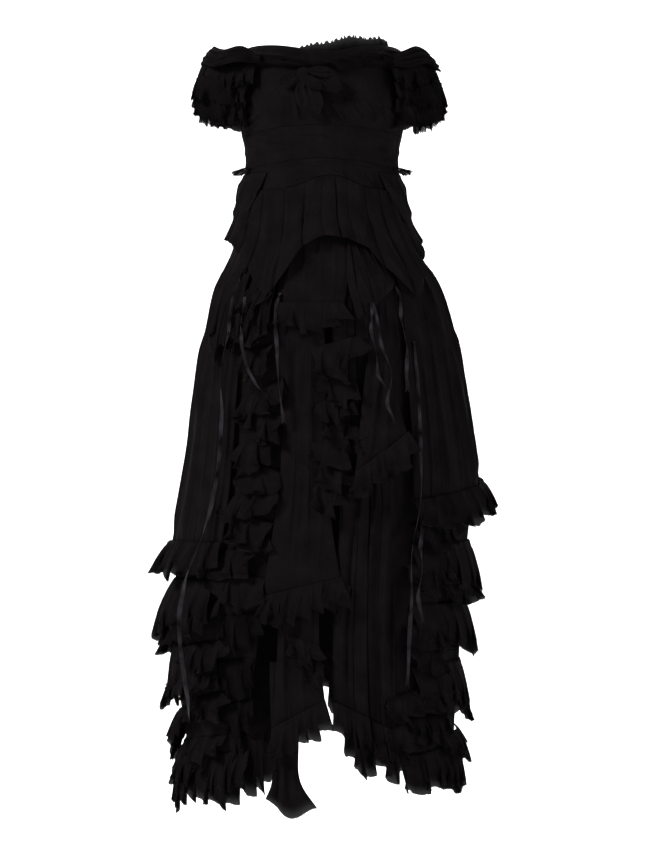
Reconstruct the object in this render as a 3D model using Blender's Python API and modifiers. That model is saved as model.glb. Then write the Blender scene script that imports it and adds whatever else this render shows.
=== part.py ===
"""Strapless black silk gown with an off-shoulder ruffle, a draped bodice, a fan-pleated peplum and a
skirt of hanging panels that end in gathered flounces, in the hollow form that it has when it is worn.

Lengths are millimetres in the tables and metres in the model. The origin is the middle of the waist,
+Z is up, the front faces -Y, and left and right are as seen from the front. Every cloth piece is laid
out on one form: a point has an angle round the form in degrees (0 at the front, 90 at the right), a
height, and a lift, which is how far the cloth's inner face stands off the form.
"""

import math

import bmesh
import bpy
import numpy as np

MM = 0.001
WALL = 1.5          # cloth with its seam allowances
SEAM = 0.3          # gap between two pieces that are sewn edge to edge
FLARED_SEAM = 0.9   # that gap on the form where the walls lean apart or together at the seam
OVER = 2.2          # lift of a piece that lies on another one
STEPS = 3           # mesh columns in one wave of a flounce
END_TUCK, END_RISE = 0.33, 0.3  # how much closer and shorter a flounce is at its ends
CELL_SPLITS = 10    # how finely a laid piece's cells are split when another is set on it
MM_PER_DEGREE = 4.0 # cloth along one degree of the form, about, where distances are compared

HEIGHT, CENTRE, HALF_WIDTH, FRONT, BACK = range(5)
FORM = np.array([
    # height, centre, half width, front depth, back depth
    (-1110, -8, 206, 184, 232),
    (-960, -4, 216, 190, 240),
    (-840, -8, 226, 196, 246),
    (-740, -8, 234, 198, 246),
    (-640, 2, 232, 194, 240),
    (-560, 12, 229, 188, 230),
    (-480, 14, 220, 180, 216),
    (-380, 13, 209, 168, 196),
    (-280, 12, 196, 152, 170),
    (-200, 9, 177, 136, 146),
    (-140, 5, 150, 121, 128),
    (-90, 1, 138, 109, 112),
    (-40, 0, 132, 98, 96),
    (5, 0, 127, 92, 86),
    (60, 0, 133, 100, 90),
    (120, 0, 136, 104, 94),
    (215, 0, 124, 86, 86),
], float)

SIDE_SEAM = 75.0        # angle where the bodice's front meets its back
BACK_EDGE = 179.85      # angle of the centre back opening's edges
NECK_HEIGHT = 166.0     # top edge of the bodice
NECK_DIP = 14.0         # how far that edge dips at the centre front
BUST_SEAM = 47.0        # seam between the cups and the midriff, at the sides
WAIST_SEAM = -9.0       # seam between the midriff and the hip yoke, at the sides
BUST_ARCH, WAIST_ARCH = 11.0, 12.0   # how far those seams rise at the centre front
YOKE_LEFT, YOKE_RIGHT = -27.0, 39.0  # ends of the band between the midriff and the peplum
YOKE_SEAM, YOKE_ARCH, YOKE_FALL = -45.0, 20.0, 15.0
YOKE_HEM = -140.0       # lower edge of the hip yoke, where the skirt panels hang
PEPLUM_REACH = 76.0     # angle of the peplum's left end
CUP_ANGLE, CUP_HEIGHT, CUP_DEPTH = 37.0, 92.0, 16.0
CUP_SPREAD, CUP_RISE = 18.0, 34.0    # half spans of one cup, in degrees and in height
BUST_RADIUS, RIBBON_RADIUS = 100.0, 200.0   # the form's radius, about, at the bow and at the ribbons


def smooth(knots, values, at):
    """A cubic curve through the knots whose slope at each knot comes from its neighbours."""
    slopes = np.gradient(values, knots)
    first = np.clip(np.searchsorted(knots, at) - 1, 0, len(knots) - 2)
    span = knots[first + 1] - knots[first]
    t = (at - knots[first]) / span
    return (
        values[first] * (1 + 2 * t) * (1 - t) ** 2
        + values[first + 1] * t ** 2 * (3 - 2 * t)
        + span * slopes[first] * t * (1 - t) ** 2
        - span * slopes[first + 1] * t ** 2 * (1 - t)
    )


def on_form(angle, height, lift):
    """Points that stand off the form: an ellipse at each height, with its own front and back depth."""
    angle, height, lift = np.broadcast_arrays(angle, height, lift)
    centre, half, front, back = (
        smooth(FORM[:, HEIGHT], FORM[:, column], height) for column in (CENTRE, HALF_WIDTH, FRONT, BACK)
    )
    across, ahead = np.sin(np.radians(angle)), np.cos(np.radians(angle))
    depth = np.where(ahead > 0, front, back)
    out = np.stack([across / half, -ahead / depth], axis=-1)
    out /= np.linalg.norm(out, axis=-1, keepdims=True)
    sideways, forward = centre + half * across, -depth * ahead
    return np.stack([sideways + out[..., 0] * lift, forward + out[..., 1] * lift, height], axis=-1)


def bump(u):
    """A soft rise from 0 at both ends of a piece to 1 in its middle."""
    return np.sin(np.pi * np.clip(u, 0, 1)) ** 2


def bust(angle, height):
    """Lift of the bodice's front over the form: two moulded cups."""
    sides = sum(np.exp(-((angle - side * CUP_ANGLE) / CUP_SPREAD) ** 2) for side in (-1, 1))
    return CUP_DEPTH * sides * np.exp(-((height - CUP_HEIGHT) / CUP_RISE) ** 2)


def neckline(angle):
    """Height of the bodice's top edge, which dips at the centre front."""
    return NECK_HEIGHT - NECK_DIP * bump((angle + SIDE_SEAM) / (2 * SIDE_SEAM))


def waistline(angle):
    """Height of the seam under the midriff, which rises at the centre front."""
    return WAIST_SEAM + WAIST_ARCH * bump((angle + SIDE_SEAM) / (2 * SIDE_SEAM))


def yoke_seam(angle):
    """Height of the seam that the peplum hangs from: arched under the yoke band, then falling to the sides."""
    arch = YOKE_ARCH * bump((angle - YOKE_LEFT) / (YOKE_RIGHT - YOKE_LEFT))
    return YOKE_SEAM + arch - YOKE_FALL * (angle / PEPLUM_REACH) ** 4


gown = bpy.data.collections.new("strapless_gown")
shapers = bpy.data.collections.new("cutters")
laid = {}               # angle, height and lift of each cloth piece's points, by name


def finish(name, colour, roughness, metallic=0.0):
    material = bpy.data.materials.new(name)
    material.use_nodes = True
    shader = material.node_tree.nodes["Principled BSDF"]
    shader.inputs["Base Color"].default_value = (*colour, 1)
    shader.inputs["Roughness"].default_value = roughness
    shader.inputs["Metallic"].default_value = metallic
    return material


def cloth(name, points, wall=WALL):
    """A piece of cloth: rows of points run down it and columns run to the right, and its wall is outside."""
    laid[name] = points
    rows, columns = points.shape[1:]
    faces = [
        (r * columns + c, (r + 1) * columns + c, (r + 1) * columns + c + 1, r * columns + c + 1)
        for r in range(rows - 1) for c in range(columns - 1)
    ]
    mesh = bpy.data.meshes.new(name)
    mesh.from_pydata(on_form(*points).reshape(-1, 3) * MM, [], faces)
    return thicken(name, mesh, wall)


def thicken(name, mesh, wall):
    """Gives an open surface its wall, outwards."""
    mesh.shade_smooth()
    mesh.materials.append(finish(name, SILK, SILK_ROUGHNESS))
    piece = bpy.data.objects.new(name, mesh)
    gown.objects.link(piece)
    solid = piece.modifiers.new("wall", "SOLIDIFY")
    solid.thickness = wall * MM
    solid.offset = 1
    return piece


def panel(name, edges, lifts, across, down, folds=0, depth=0.0, wall=WALL):
    """A cut panel that hangs from its top edge.

    Each row of edges is the left edge's angle and height, the right edge's, and how far the middle
    is above the line between them. The lift runs from its first value at the top to its second at
    the hem, and the folds deepen from nothing on the way down.
    """
    v = np.linspace(0, 1, down + 1)[:, None]
    u = np.linspace(0, 1, across + 1)[None, :]
    table = np.array(edges, float)
    knots = np.linspace(0, 1, len(table))
    left, left_height, right, right_height, arch = (smooth(knots, table[:, k], v) for k in range(5))
    angle = np.clip(left + (right - left) * u, -BACK_EDGE, BACK_EDGE)
    height = left_height + (right_height - left_height) * u + arch * bump(u)
    swell = 0.5 + 0.5 * np.sin(2 * np.pi * folds * u + 0.6 * np.sin(5 * u))
    lift = lifts[0] + (lifts[1] - lifts[0]) * v + depth * swell * v ** 0.8
    return cloth(name, np.array(np.broadcast_arrays(angle, height, lift)), wall)


def flounce(name, heading, drop, waves, depth, flare, spread=1.0, rows=2, phase=0.0, rise=8.0, over=OVER):
    """A strip gathered along its heading, which is three rows: angle, height and lift across its width.

    It starts a little above the heading and stands further out on the way down, by flare and by waves
    of the given depth that are never behind the heading. Its ends are shorter and lie closer, and
    spread widens its hem about its middle.
    """
    u = np.linspace(0, 1, waves * STEPS + 1)
    places = np.linspace(0, 1, len(heading[0]))
    angle, height, lift = (np.interp(u, places, row) for row in heading)
    v = np.linspace(0, 1, rows + 1)[:, None]
    uneven = 0.8 + 0.2 * np.sin(7 * u + phase)
    wave = (0.5 + 0.5 * np.sin(2 * np.pi * waves * u + phase)) * uneven
    middle = angle.mean()
    ends = np.abs(2 * u - 1) ** 4
    out = lift + over + v ** 0.7 * (flare + depth * wave) * (1 - END_TUCK * ends)
    fall = (drop * (1 - END_RISE * ends) + rise) * (0.94 + 0.06 * np.cos(2 * np.pi * waves * u + phase))
    low = height + rise - v * fall
    return cloth(name, np.array(np.broadcast_arrays(angle + (angle - middle) * (spread - 1) * v, low, out)))


def hem_of(name):
    """The heading that a panel's hem gives to a flounce."""
    return laid[name][:, -1, :]


def lift_of(carrier, angle, height):
    """How far a laid piece's flat cells stand off the form, at the nearest point of its finely split grid."""
    grid = np.concatenate([laid[carrier], np.moveaxis(on_form(*laid[carrier]), -1, 0)])
    for axis in (1, 2):
        places = np.arange(grid.shape[axis])
        finer = np.linspace(0, places[-1], places[-1] * CELL_SPLITS + 1)
        below = np.minimum(finer.astype(int), places[-1] - 1)
        share = (finer - below).reshape((1, -1, 1) if axis == 1 else (1, 1, -1))
        grid = grid.take(below, axis) * (1 - share) + grid.take(below + 1, axis) * share
    angle, height = np.broadcast_arrays(angle, height)
    grid = grid.reshape(len(grid), -1)
    apart = (MM_PER_DEGREE * (grid[0] - angle.reshape(-1, 1))) ** 2 + (grid[1] - height.reshape(-1, 1)) ** 2
    near = grid[:, apart.argmin(axis=1)]
    outward = on_form(near[0], near[1], 1.0) - on_form(near[0], near[1], 0.0)
    sag = ((near[3:].T - on_form(*near[:3])) * outward).sum(axis=1)
    return (near[2] + sag).reshape(angle.shape)


def line_on(carrier, left, left_height, right, right_height):
    """A heading drawn across a piece that is laid already, between two places."""
    u = np.linspace(0, 1, 25)
    angle, height = left + (right - left) * u, left_height + (right_height - left_height) * u
    return np.array([angle, height, lift_of(carrier, angle, height)])


def cascade(name, carrier, spine, half_width, folds, depth, swing, over=OVER):
    """A ruffle sewn down its middle to the piece under it, whose two free edges swing out in turn."""
    t = np.linspace(0, 1, folds * STEPS + 1)[:, None]
    e = np.linspace(-1, 1, 5)[None, :]
    table = np.array(spine, float)
    knots = np.linspace(0, 1, len(table))
    angle, height = (smooth(knots, table[:, k], t) for k in range(2))
    turn = 2 * np.pi * folds * t + np.where(e < 0, 0.0, 1.9)
    angle = angle + half_width * (1 + 0.18 * np.cos(turn)) * e
    base = lift_of(carrier, angle, height).max(axis=1, keepdims=True) + over
    lift = base + depth * np.abs(e) * (0.6 + 0.5 * np.sin(turn))
    return cloth(name, np.array(np.broadcast_arrays(angle, height + swing * np.abs(e) * np.cos(turn), lift)))


def leaf(name, start, end, half_width, lifts, rows=6, columns=4, curl=5.0):
    """A bow's loop end: pointed at both ends, wide in the middle, with its edges curled forward."""
    t = np.linspace(0, 1, rows + 1)[:, None]
    e = np.linspace(-1, 1, columns + 1)[None, :]
    (a0, h0), (a1, h1) = start, end
    along = np.array([np.radians(a1 - a0) * BUST_RADIUS, h1 - h0])
    along /= np.linalg.norm(along)
    width = half_width * (0.22 + 0.78 * np.sin(np.pi * t) ** 0.8) * e
    angle = a0 + (a1 - a0) * t - np.degrees(width * along[1] / BUST_RADIUS)
    height = h0 + (h1 - h0) * t + width * along[0]
    lift = lifts[0] + (lifts[1] - lifts[0]) * t + curl * e ** 2 * np.sin(np.pi * t)
    return cloth(name, np.array(np.broadcast_arrays(angle, height, lift)))


def ribbon(name, route, width):
    """A narrow satin ribbon through rows of angle, height and lift, with its free end at the bottom."""
    table = np.array(route, float)
    knots = np.linspace(0, 1, len(table))
    t = np.linspace(0, 1, 3 * len(table) - 2)[:, None]
    angle, height, lift = (smooth(knots, table[:, k], t) for k in range(3))
    side = np.array([[-0.5, 0.5]]) * np.degrees(width / RIBBON_RADIUS)
    return cloth(name, np.array(np.broadcast_arrays(angle + side, height, lift)), RIBBON_WALL)


for old in list(bpy.data.objects):
    bpy.data.objects.remove(old, do_unlink=True)
bpy.context.scene.collection.children.link(gown)
bpy.context.scene.collection.children.link(shapers)

SILK = (0.012, 0.011, 0.012)
SILK_ROUGHNESS = 0.75
ZIP_METAL = (0.03, 0.03, 0.032)
RIBBON_WALL = 1.0

# Bodice: moulded front, two backs, arched midriff and hip yoke
ACROSS, DOWN = 18, 6
angle = np.linspace(-SIDE_SEAM, SIDE_SEAM, ACROSS + 1)[None, :]
v = np.linspace(0, 1, DOWN + 1)[:, None]
top = neckline(angle)
low = BUST_SEAM + BUST_ARCH * bump((angle + SIDE_SEAM) / (2 * SIDE_SEAM))
height = top + (low - top) * v
cloth("bodice_front", np.array(np.broadcast_arrays(angle, height, bust(angle, height))))

midriff_across = 16
angle = np.linspace(-SIDE_SEAM, SIDE_SEAM, midriff_across + 1)[None, :]
v = np.linspace(0, 1, 3)[:, None]
top = BUST_SEAM - SEAM + BUST_ARCH * bump((angle + SIDE_SEAM) / (2 * SIDE_SEAM))
low = waistline(angle)
height = top + (low - top) * v
cloth("midriff_front", np.array(np.broadcast_arrays(angle, height, bust(angle, height))))

for side, name in ((-1, "left"), (1, "right")):
    near, far = SIDE_SEAM + 0.15, BACK_EDGE
    edges = [
        (near, NECK_HEIGHT, far, NECK_HEIGHT - 4, 0), (near, 60, far, 60, 0), (near, WAIST_SEAM, far, WAIST_SEAM, 0),
    ]
    if side < 0:
        edges = [(-r, rz, -l, lz, arch) for l, lz, r, rz, arch in edges]
    panel(f"bodice_back_{name}", edges, (0, 0), 10, 5)

yoke_back = np.linspace(SIDE_SEAM, BACK_EDGE, 9)[1:]
angle = np.concatenate([-yoke_back[::-1], np.linspace(-SIDE_SEAM, SIDE_SEAM, midriff_across + 1), yoke_back])[None, :]
v = np.linspace(0, 1, 7)[:, None]
height = waistline(angle) - FLARED_SEAM + (YOKE_HEM - waistline(angle)) * v
cloth("hip_yoke", np.array(np.broadcast_arrays(angle, height, 0.0)))

panel("yoke_front",
      [(YOKE_LEFT, -12, YOKE_RIGHT, -12, 12), (YOKE_LEFT, YOKE_SEAM, YOKE_RIGHT, YOKE_SEAM, YOKE_ARCH)],
      (OVER, OVER), 12, 4)

# Peplum: fan pleats from the arched yoke seam down to a hem with two tails
PEPLUM_HEM = np.array([
    # angle, height
    (-76, -128), (-62, -138), (-44, -181), (-30, -231), (-24, -198), (-12, -144),
    (0, -127), (14, -132), (25, -149), (33, -186), (46, -229), (61, -168), (78, -128),
], float)
PLEATS = 14
u = np.linspace(0, 1, PLEATS * STEPS + 1)[None, :]
v = np.linspace(0, 1, 4)[:, None]
angle = -PEPLUM_REACH + 154 * u
hem = np.interp(angle, PEPLUM_HEM[:, 0], PEPLUM_HEM[:, 1])
top = yoke_seam(angle) - FLARED_SEAM
pleat = 0.5 + 0.5 * np.sin(2 * np.pi * PLEATS * u)
lift = OVER + 13 * v ** 1.2 + 4.5 * pleat * (0.2 + 0.8 * v)
cloth("peplum", np.array(np.broadcast_arrays(angle, top + (hem - top) * v, lift)))

# Hip flaps over the peplum's ends, which meet at the centre back, and the small frills that stand out
# of the waist seam above them
panel("hip_flap_left",
      [(-BACK_EDGE, -17, -36, -19, 0), (-BACK_EDGE, -62, -31, -50, 0), (-BACK_EDGE, -128, -42, -86, -8)],
      (OVER, OVER + 17), 17, 3, folds=2, depth=2)
panel("hip_flap_right",
      [(41, -19, BACK_EDGE, -17, 0), (40, -52, BACK_EDGE, -62, 0), (48, -92, BACK_EDGE, -128, -4)],
      (OVER, OVER + 17), 17, 3, folds=2, depth=2)
for side, name in ((-1, "left"), (1, "right")):
    ends = sorted((side * 68, side * 116))
    flounce(f"side_frill_{name}", line_on("hip_yoke", ends[0], -12.5, ends[1], -12.5), 4, 4, 5, 9, rise=3)

# Neckline: a draped fold all round, a standing pleated frill and the bow
DRAPE = np.array([
    # angle, height of its middle, half width, bulge
    (-179.8, 158, 13, 6), (-110, 166, 16, 9), (-70, 174, 18, 14), (-36, 170, 17, 15), (-8, 155, 15, 14),
    (5, 151, 15, 13), (30, 164, 16, 15), (70, 172, 17, 14), (110, 166, 16, 9), (179.8, 158, 13, 6),
], float)
angle = np.linspace(-179.8, 179.8, 37)[None, :]
v = np.linspace(0, 1, 4)[:, None]
middle, half, bulge = (smooth(DRAPE[:, 0], DRAPE[:, k], angle) for k in (1, 2, 3))
height = middle + half * (1 - 2 * v)
lift = bust(angle, height) + OVER + bulge * np.sin(np.pi * v) ** 0.8
cloth("neck_drape", np.array(np.broadcast_arrays(angle, height, lift)))

FRILL_PLEATS, FRILL_HEIGHT = 8, 42.0
u = np.linspace(0, 1, FRILL_PLEATS * STEPS + 1)[None, :]
v = np.linspace(1, 0, 3)[:, None]
angle = -12 + 80 * u
height = neckline(angle) + SEAM + FRILL_HEIGHT * (0.75 + 0.25 * bump(u)) * v
lift = -v * (2 + 7 * (0.5 + 0.5 * np.sin(2 * np.pi * FRILL_PLEATS * u)))
cloth("neck_frill", np.array(np.broadcast_arrays(angle, height, lift)))

KNOT_ANGLE, KNOT_HEIGHT, KNOT_LIFT = -12.0, 140.0, 17.0
KNOT_HALF = (12.0, 7.0, 11.0)
bpy.ops.mesh.primitive_uv_sphere_add(segments=12, ring_count=8, radius=1, location=(0, 0, 0))
knot = bpy.context.object
knot.name = knot.data.name = "bow_knot"
knot.data.transform(knot.matrix_world.Diagonal((*(s * MM for s in KNOT_HALF), 1)))
knot.location = on_form(KNOT_ANGLE, KNOT_HEIGHT, KNOT_LIFT) * MM
knot.rotation_euler.z = math.radians(KNOT_ANGLE)
knot.data.shade_smooth()
knot.data.materials.append(finish("bow_knot", SILK, SILK_ROUGHNESS))
for home in list(knot.users_collection):
    home.objects.unlink(knot)
gown.objects.link(knot)
leaf("bow_leaf_upper", (-6.3, 139), (12, 110), 13, (16, 21))
leaf("bow_leaf_lower", (-12.5, 128.3), (-4, 68), 15, (16.2, 14))

# Off-shoulder ruffles: each loops round the arm from the bodice's front to its back
ARM_START, ARM_END = 61.0, 119.0
ARM_REACH = {
    # height on the outer side: reach beyond the bodice, top to hem
    "left": [(188, 50), (168, 65), (140, 71), (116, 64), (92, 60), (66, 54)],
    "right": [(184, 44), (160, 54), (134, 60), (112, 60), (90, 52), (72, 44)],
}
ARM_WAVES, ARM_WAVE_DEPTH, ARM_ENDS_TOP, ARM_ENDS_SPAN = 6, 9.0, 146.0, 88.0
for side, name in ((-1, "left"), (1, "right")):
    table = np.array(ARM_REACH[name], float)
    u = np.linspace(0, 1, ARM_WAVES * STEPS + 1)[None, :]
    arc = np.sin(np.pi * u)
    angle = (ARM_START + (ARM_END - ARM_START) * u) * side
    if side < 0:
        angle = angle[:, ::-1]
    outer = table[:, 0:1]
    share = (table[0, 0] - outer) / (table[0, 0] - table[-1, 0])
    ends = ARM_ENDS_TOP - ARM_ENDS_SPAN * share
    height = ends + (outer - ends) * arc
    wave = ARM_WAVE_DEPTH * (0.5 + 0.5 * np.sin(2 * np.pi * ARM_WAVES * u)) * arc
    lift = bust(angle, height) + OVER + (table[:, 1:2] - ARM_WAVE_DEPTH) * arc ** 0.5 + wave
    cloth(f"arm_ruffle_{name}", np.array(np.broadcast_arrays(angle, height, lift)))

# Skirt foundation: four panels hang from the hip yoke, open at the centre front
TOP = YOKE_HEM - FLARED_SEAM - SEAM
panel("under_left",
      [(-134.7, TOP, -24, TOP, 0), (-134.7, -430, -26, -430, 0), (-134.7, -700, -27, -710, 0),
       (-134.7, -960, -34, -985, 0)],
      (0, 4), 12, 6, folds=2, depth=5)
panel("under_right", [(22, TOP, 134.7, TOP, 0), (32, -500, 134.7, -500, 0), (36, -985, 134.7, -960, 0)],
      (0, 4), 12, 6, folds=2, depth=5)
panel("back_left",
      [(-BACK_EDGE, TOP, -135.3, TOP, 0), (-BACK_EDGE, -500, -135.3, -500, 0), (-BACK_EDGE, -850, -135.3, -995, -40)],
      (0, 4), 7, 6, folds=2, depth=6)
panel("back_right",
      [(135.3, TOP, BACK_EDGE, TOP, 0), (135.3, -500, BACK_EDGE, -500, 0), (135.3, -995, BACK_EDGE, -850, -40)],
      (0, 4), 7, 6, folds=2, depth=6)
panel("panel_centre",
      [(-17, TOP, -4, TOP, 0), (-18, -400, -3.5, -400, 0), (-18, -560, -1, -555, 0), (-19.5, -722, 8, -690, 0)],
      (0, 14), 7, 9, folds=2, depth=3)

# Hip tiers under the peplum: apron with its pleated edge, scarf and two small ruffles
panel("apron", [(-27, -100, 14, -100, 0), (-26, -180, 12, -180, 0), (-25, -245, 7, -246, 0)],
      (OVER, 8), 8, 4, folds=1, depth=1.5)
flounce("apron_edge", hem_of("apron"), 42, 5, 7, 7, spread=1.08, over=1.9)
panel("hip_scarf",
      [(14.5, -118, 30, -118, 0), (13, -160, 29, -160, 0), (11, -205, 33, -200, 0), (17, -252, 26, -232, 0)],
      (OVER, 16), 6, 6, folds=1, depth=2)

# Outer panels with their gathered hems
panel("panel_left", [(-112, -131, -44, -131, 0), (-112, -330, -44, -330, 0), (-110, -640, -42, -636, 0)],
      (OVER + 0.4, 17), 13, 6, folds=4, depth=5)
flounce("hem_left", hem_of("panel_left"), 52, 8, 17, 12)
flounce("hip_ruffle_outer", line_on("panel_left", -60, -196, -45, -196), 138, 3, 9, 9, rows=3, phase=1)
flounce("hip_ruffle_inner", line_on("under_left", -41, -190, -27.5, -194), 112, 3, 8, 17, rows=3, phase=2)
panel("panel_right", [(40, -131, 112, -131, 0), (36, -330, 112, -330, 0), (33, -566, 108, -528, 0)],
      (OVER + 0.4, 19), 13, 6, folds=4, depth=6)
flounce("hem_right", hem_of("panel_right"), 50, 10, 19, 16)
panel("panel_front_right", [(24, -205, 38, -205, 0), (14, -381, 29, -381, 0), (9, -520, 31, -455, 0)],
      (1.7, 30), 7, 6, folds=2, depth=4)
flounce("hem_front_right", hem_of("panel_front_right"), 42, 6, 12, 10, spread=1.15, over=1.8)
flounce("hem_centre", hem_of("panel_centre"), 48, 7, 12, 8, spread=1.22)
cascade("cascade_left", "under_left",
        [(-31, -392), (-31, -500), (-29.5, -620), (-30.5, -738)], 8, 8, 26, 5, over=1.7)

# Lower front panels
panel("panel_lower_right",
      [(3, TOP, 21.5, TOP, 0), (1.5, -400, 26, -400, 0), (9, -650, 30, -650, 0), (8, -890, 35, -950, 0)],
      (0, 8), 12, 8, folds=3, depth=8)
cascade("cascade_centre", "panel_lower_right", [(4.5, -335), (4.5, -450), (6.5, -556)], 5.5, 5, 16, 5)
flounce("hem_lower_right", hem_of("panel_lower_right"), 52, 7, 12, 10, spread=1.08)
panel("panel_lower_centre", [(-15, -600, 1, -600, 0), (-15, -780, 1, -780, 0), (-19, -935, 3, -888, 0)],
      (8.9, 10), 6, 5, folds=2, depth=3)
cascade("cascade_low", "panel_lower_centre", [(-7, -790), (-4, -822), (-1, -858)], 5, 2, 10, 4)
flounce("hem_lower_centre", hem_of("panel_lower_centre"), 50, 5, 12, 10, spread=1.15)
panel("panel_lowest",
      [(-19, -820, -9, -820, 0), (-20, -940, -8.5, -940, 0), (-20, -1010, -8, -1010, 0), (-24, -1046, 0, -1058, -24)],
      (6.2, 8.8), 9, 7, folds=3, depth=3)

# Tiers of flounces on the foundation
for name, heading, drop, waves, depth, flare in (
    ("tier_left_upper", line_on("under_left", -118, -704, -44, -696), 92, 7, 18, 22),
    ("tier_left_middle", line_on("under_left", -116, -812, -42, -808), 84, 7, 14, 12),
    ("hem_left_low", hem_of("under_left"), 74, 9, 14, 10),
    ("tier_right_upper", line_on("under_right", 36, -640, 118, -636), 74, 7, 16, 18),
    ("tier_right_middle", line_on("under_right", 38, -738, 118, -734), 74, 7, 16, 18),
    ("tier_right_lower", line_on("under_right", 40, -838, 118, -834), 76, 7, 14, 14),
    ("hem_right_low", hem_of("under_right"), 58, 9, 14, 8),
    ("tier_back_left", line_on("back_left", -179, -690, -136, -790), 78, 6, 14, 12),
    ("tier_back_right", line_on("back_right", 136, -790, 179, -690), 78, 6, 14, 12),
    ("hem_back_left", hem_of("back_left"), 62, 6, 14, 12),
    ("hem_back_right", hem_of("back_right"), 62, 6, 14, 12),
):
    flounce(name, heading, drop, waves, depth, flare)

# Satin ribbons that hang free from under the peplum
RIBBON_WIDTH = 10.0
ribbon("ribbon_left_long",
       [(-50, -165, 7.9), (-50, -200, 11.9), (-49, -260, 24), (-48, -335, 32), (-47, -430, 30), (-47, -540, 30),
        (-47, -620, 42), (-48, -690, 64), (-49, -800, 62), (-52, -920, 50)], RIBBON_WIDTH)
ribbon("ribbon_centre",
       [(-24.5, -222, 10.0), (-24.3, -238, 15.5), (-23.5, -288, 29), (-21, -353, 26), (-19, -437, 26)], RIBBON_WIDTH)
ribbon("ribbon_right_short", [(36.5, -208, 7), (35, -285, 17), (34, -340, 22.5), (32, -385, 27.5)], RIBBON_WIDTH)

# Centre back zip: a slider with two ears, and a pull tab that turns on a barrel between them
ZIP_HEIGHT = 128.0
SLIDER = (7.0, 5.0, 9.0)
SLOT_WIDTH, SLOT_DEPTH = 3.6, 3.4
BARREL_RADIUS, BARREL_LENGTH = 1.1, 3.0
TAB_LENGTH, TAB_WIDTH, TAB_THICK = 20.0, 6.0, 1.2


def box(name, size, place, home):
    bpy.ops.mesh.primitive_cube_add(size=1, location=[p * MM for p in place])
    piece = bpy.context.object
    piece.name = piece.data.name = name
    piece.data.transform(piece.matrix_world.Diagonal((*(s * MM for s in size), 1)))
    for old_home in list(piece.users_collection):
        old_home.objects.unlink(piece)
    home.objects.link(piece)
    return piece


back_face = float(on_form(180.0, ZIP_HEIGHT, WALL + SEAM)[1])
barrel_place = (0.0, back_face + SLIDER[1] - 1.5, ZIP_HEIGHT)
slider = box("zip_slider", SLIDER, (0, back_face + SLIDER[1] / 2, ZIP_HEIGHT), gown)
slot = box("slot_cutter", (SLOT_WIDTH, SLOT_DEPTH * 2, SLIDER[2] * 2), (0, back_face + SLIDER[1], ZIP_HEIGHT), shapers)
slot.hide_render = True
slot.display_type = "WIRE"
cut = slider.modifiers.new("slot", "BOOLEAN")
cut.operation = "DIFFERENCE"
cut.object = slot
slider.data.materials.append(finish("zip_slider", ZIP_METAL, 0.35, 1.0))

bpy.ops.mesh.primitive_cylinder_add(vertices=16, radius=BARREL_RADIUS * MM, depth=BARREL_LENGTH * MM,
                                    location=(0, 0, 0), rotation=(0, math.pi / 2, 0))
pull = bpy.context.object
pull.name = pull.data.name = "zip_pull"
pull.data.transform(pull.matrix_world)
pull.matrix_world.identity()
pull.rotation_euler = (0, 0, 0)
tab = bmesh.new()
outline = [
    (-0.5, 0), (-0.5, 0.3), (-1, 0.62), (-1, 0.86), (-0.55, 1), (0.55, 1), (1, 0.86), (1, 0.62), (0.5, 0.3), (0.5, 0),
]
ring = [tab.verts.new((x * TAB_WIDTH / 2 * MM, -TAB_THICK / 2 * MM, -t * TAB_LENGTH * MM)) for x, t in outline]
face = tab.faces.new(ring)
moved = bmesh.ops.extrude_face_region(tab, geom=[face])["geom"]
bmesh.ops.translate(tab, verts=[g for g in moved if isinstance(g, bmesh.types.BMVert)], vec=(0, TAB_THICK * MM, 0))
bmesh.ops.recalc_face_normals(tab, faces=tab.faces)
tab_mesh = bpy.data.meshes.new("tab_plate")
tab.to_mesh(tab_mesh)
tab.free()
plate = bpy.data.objects.new("tab_plate", tab_mesh)
shapers.objects.link(plate)
plate.hide_render = True
plate.display_type = "WIRE"
join = pull.modifiers.new("plate", "BOOLEAN")
join.operation = "UNION"
join.object = plate
for item in (pull, plate):
    item.location = [p * MM for p in barrel_place]
for old_home in list(pull.users_collection):
    old_home.objects.unlink(pull)
gown.objects.link(pull)
pull.data.materials.append(finish("zip_pull", ZIP_METAL, 0.35, 1.0))
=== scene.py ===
"""The looks of a strapless gown of crinkled black silk, with gathered ruffles, satin ribbons and a back zip.

Lengths are millimetres until a mesh is made. A place on the gown is an angle round it in degrees, 0 at the
front and 90 at the right, a height, and a lift off the form that the cloth is worn on. Left and right are
as seen from the front.
"""
import math

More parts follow.
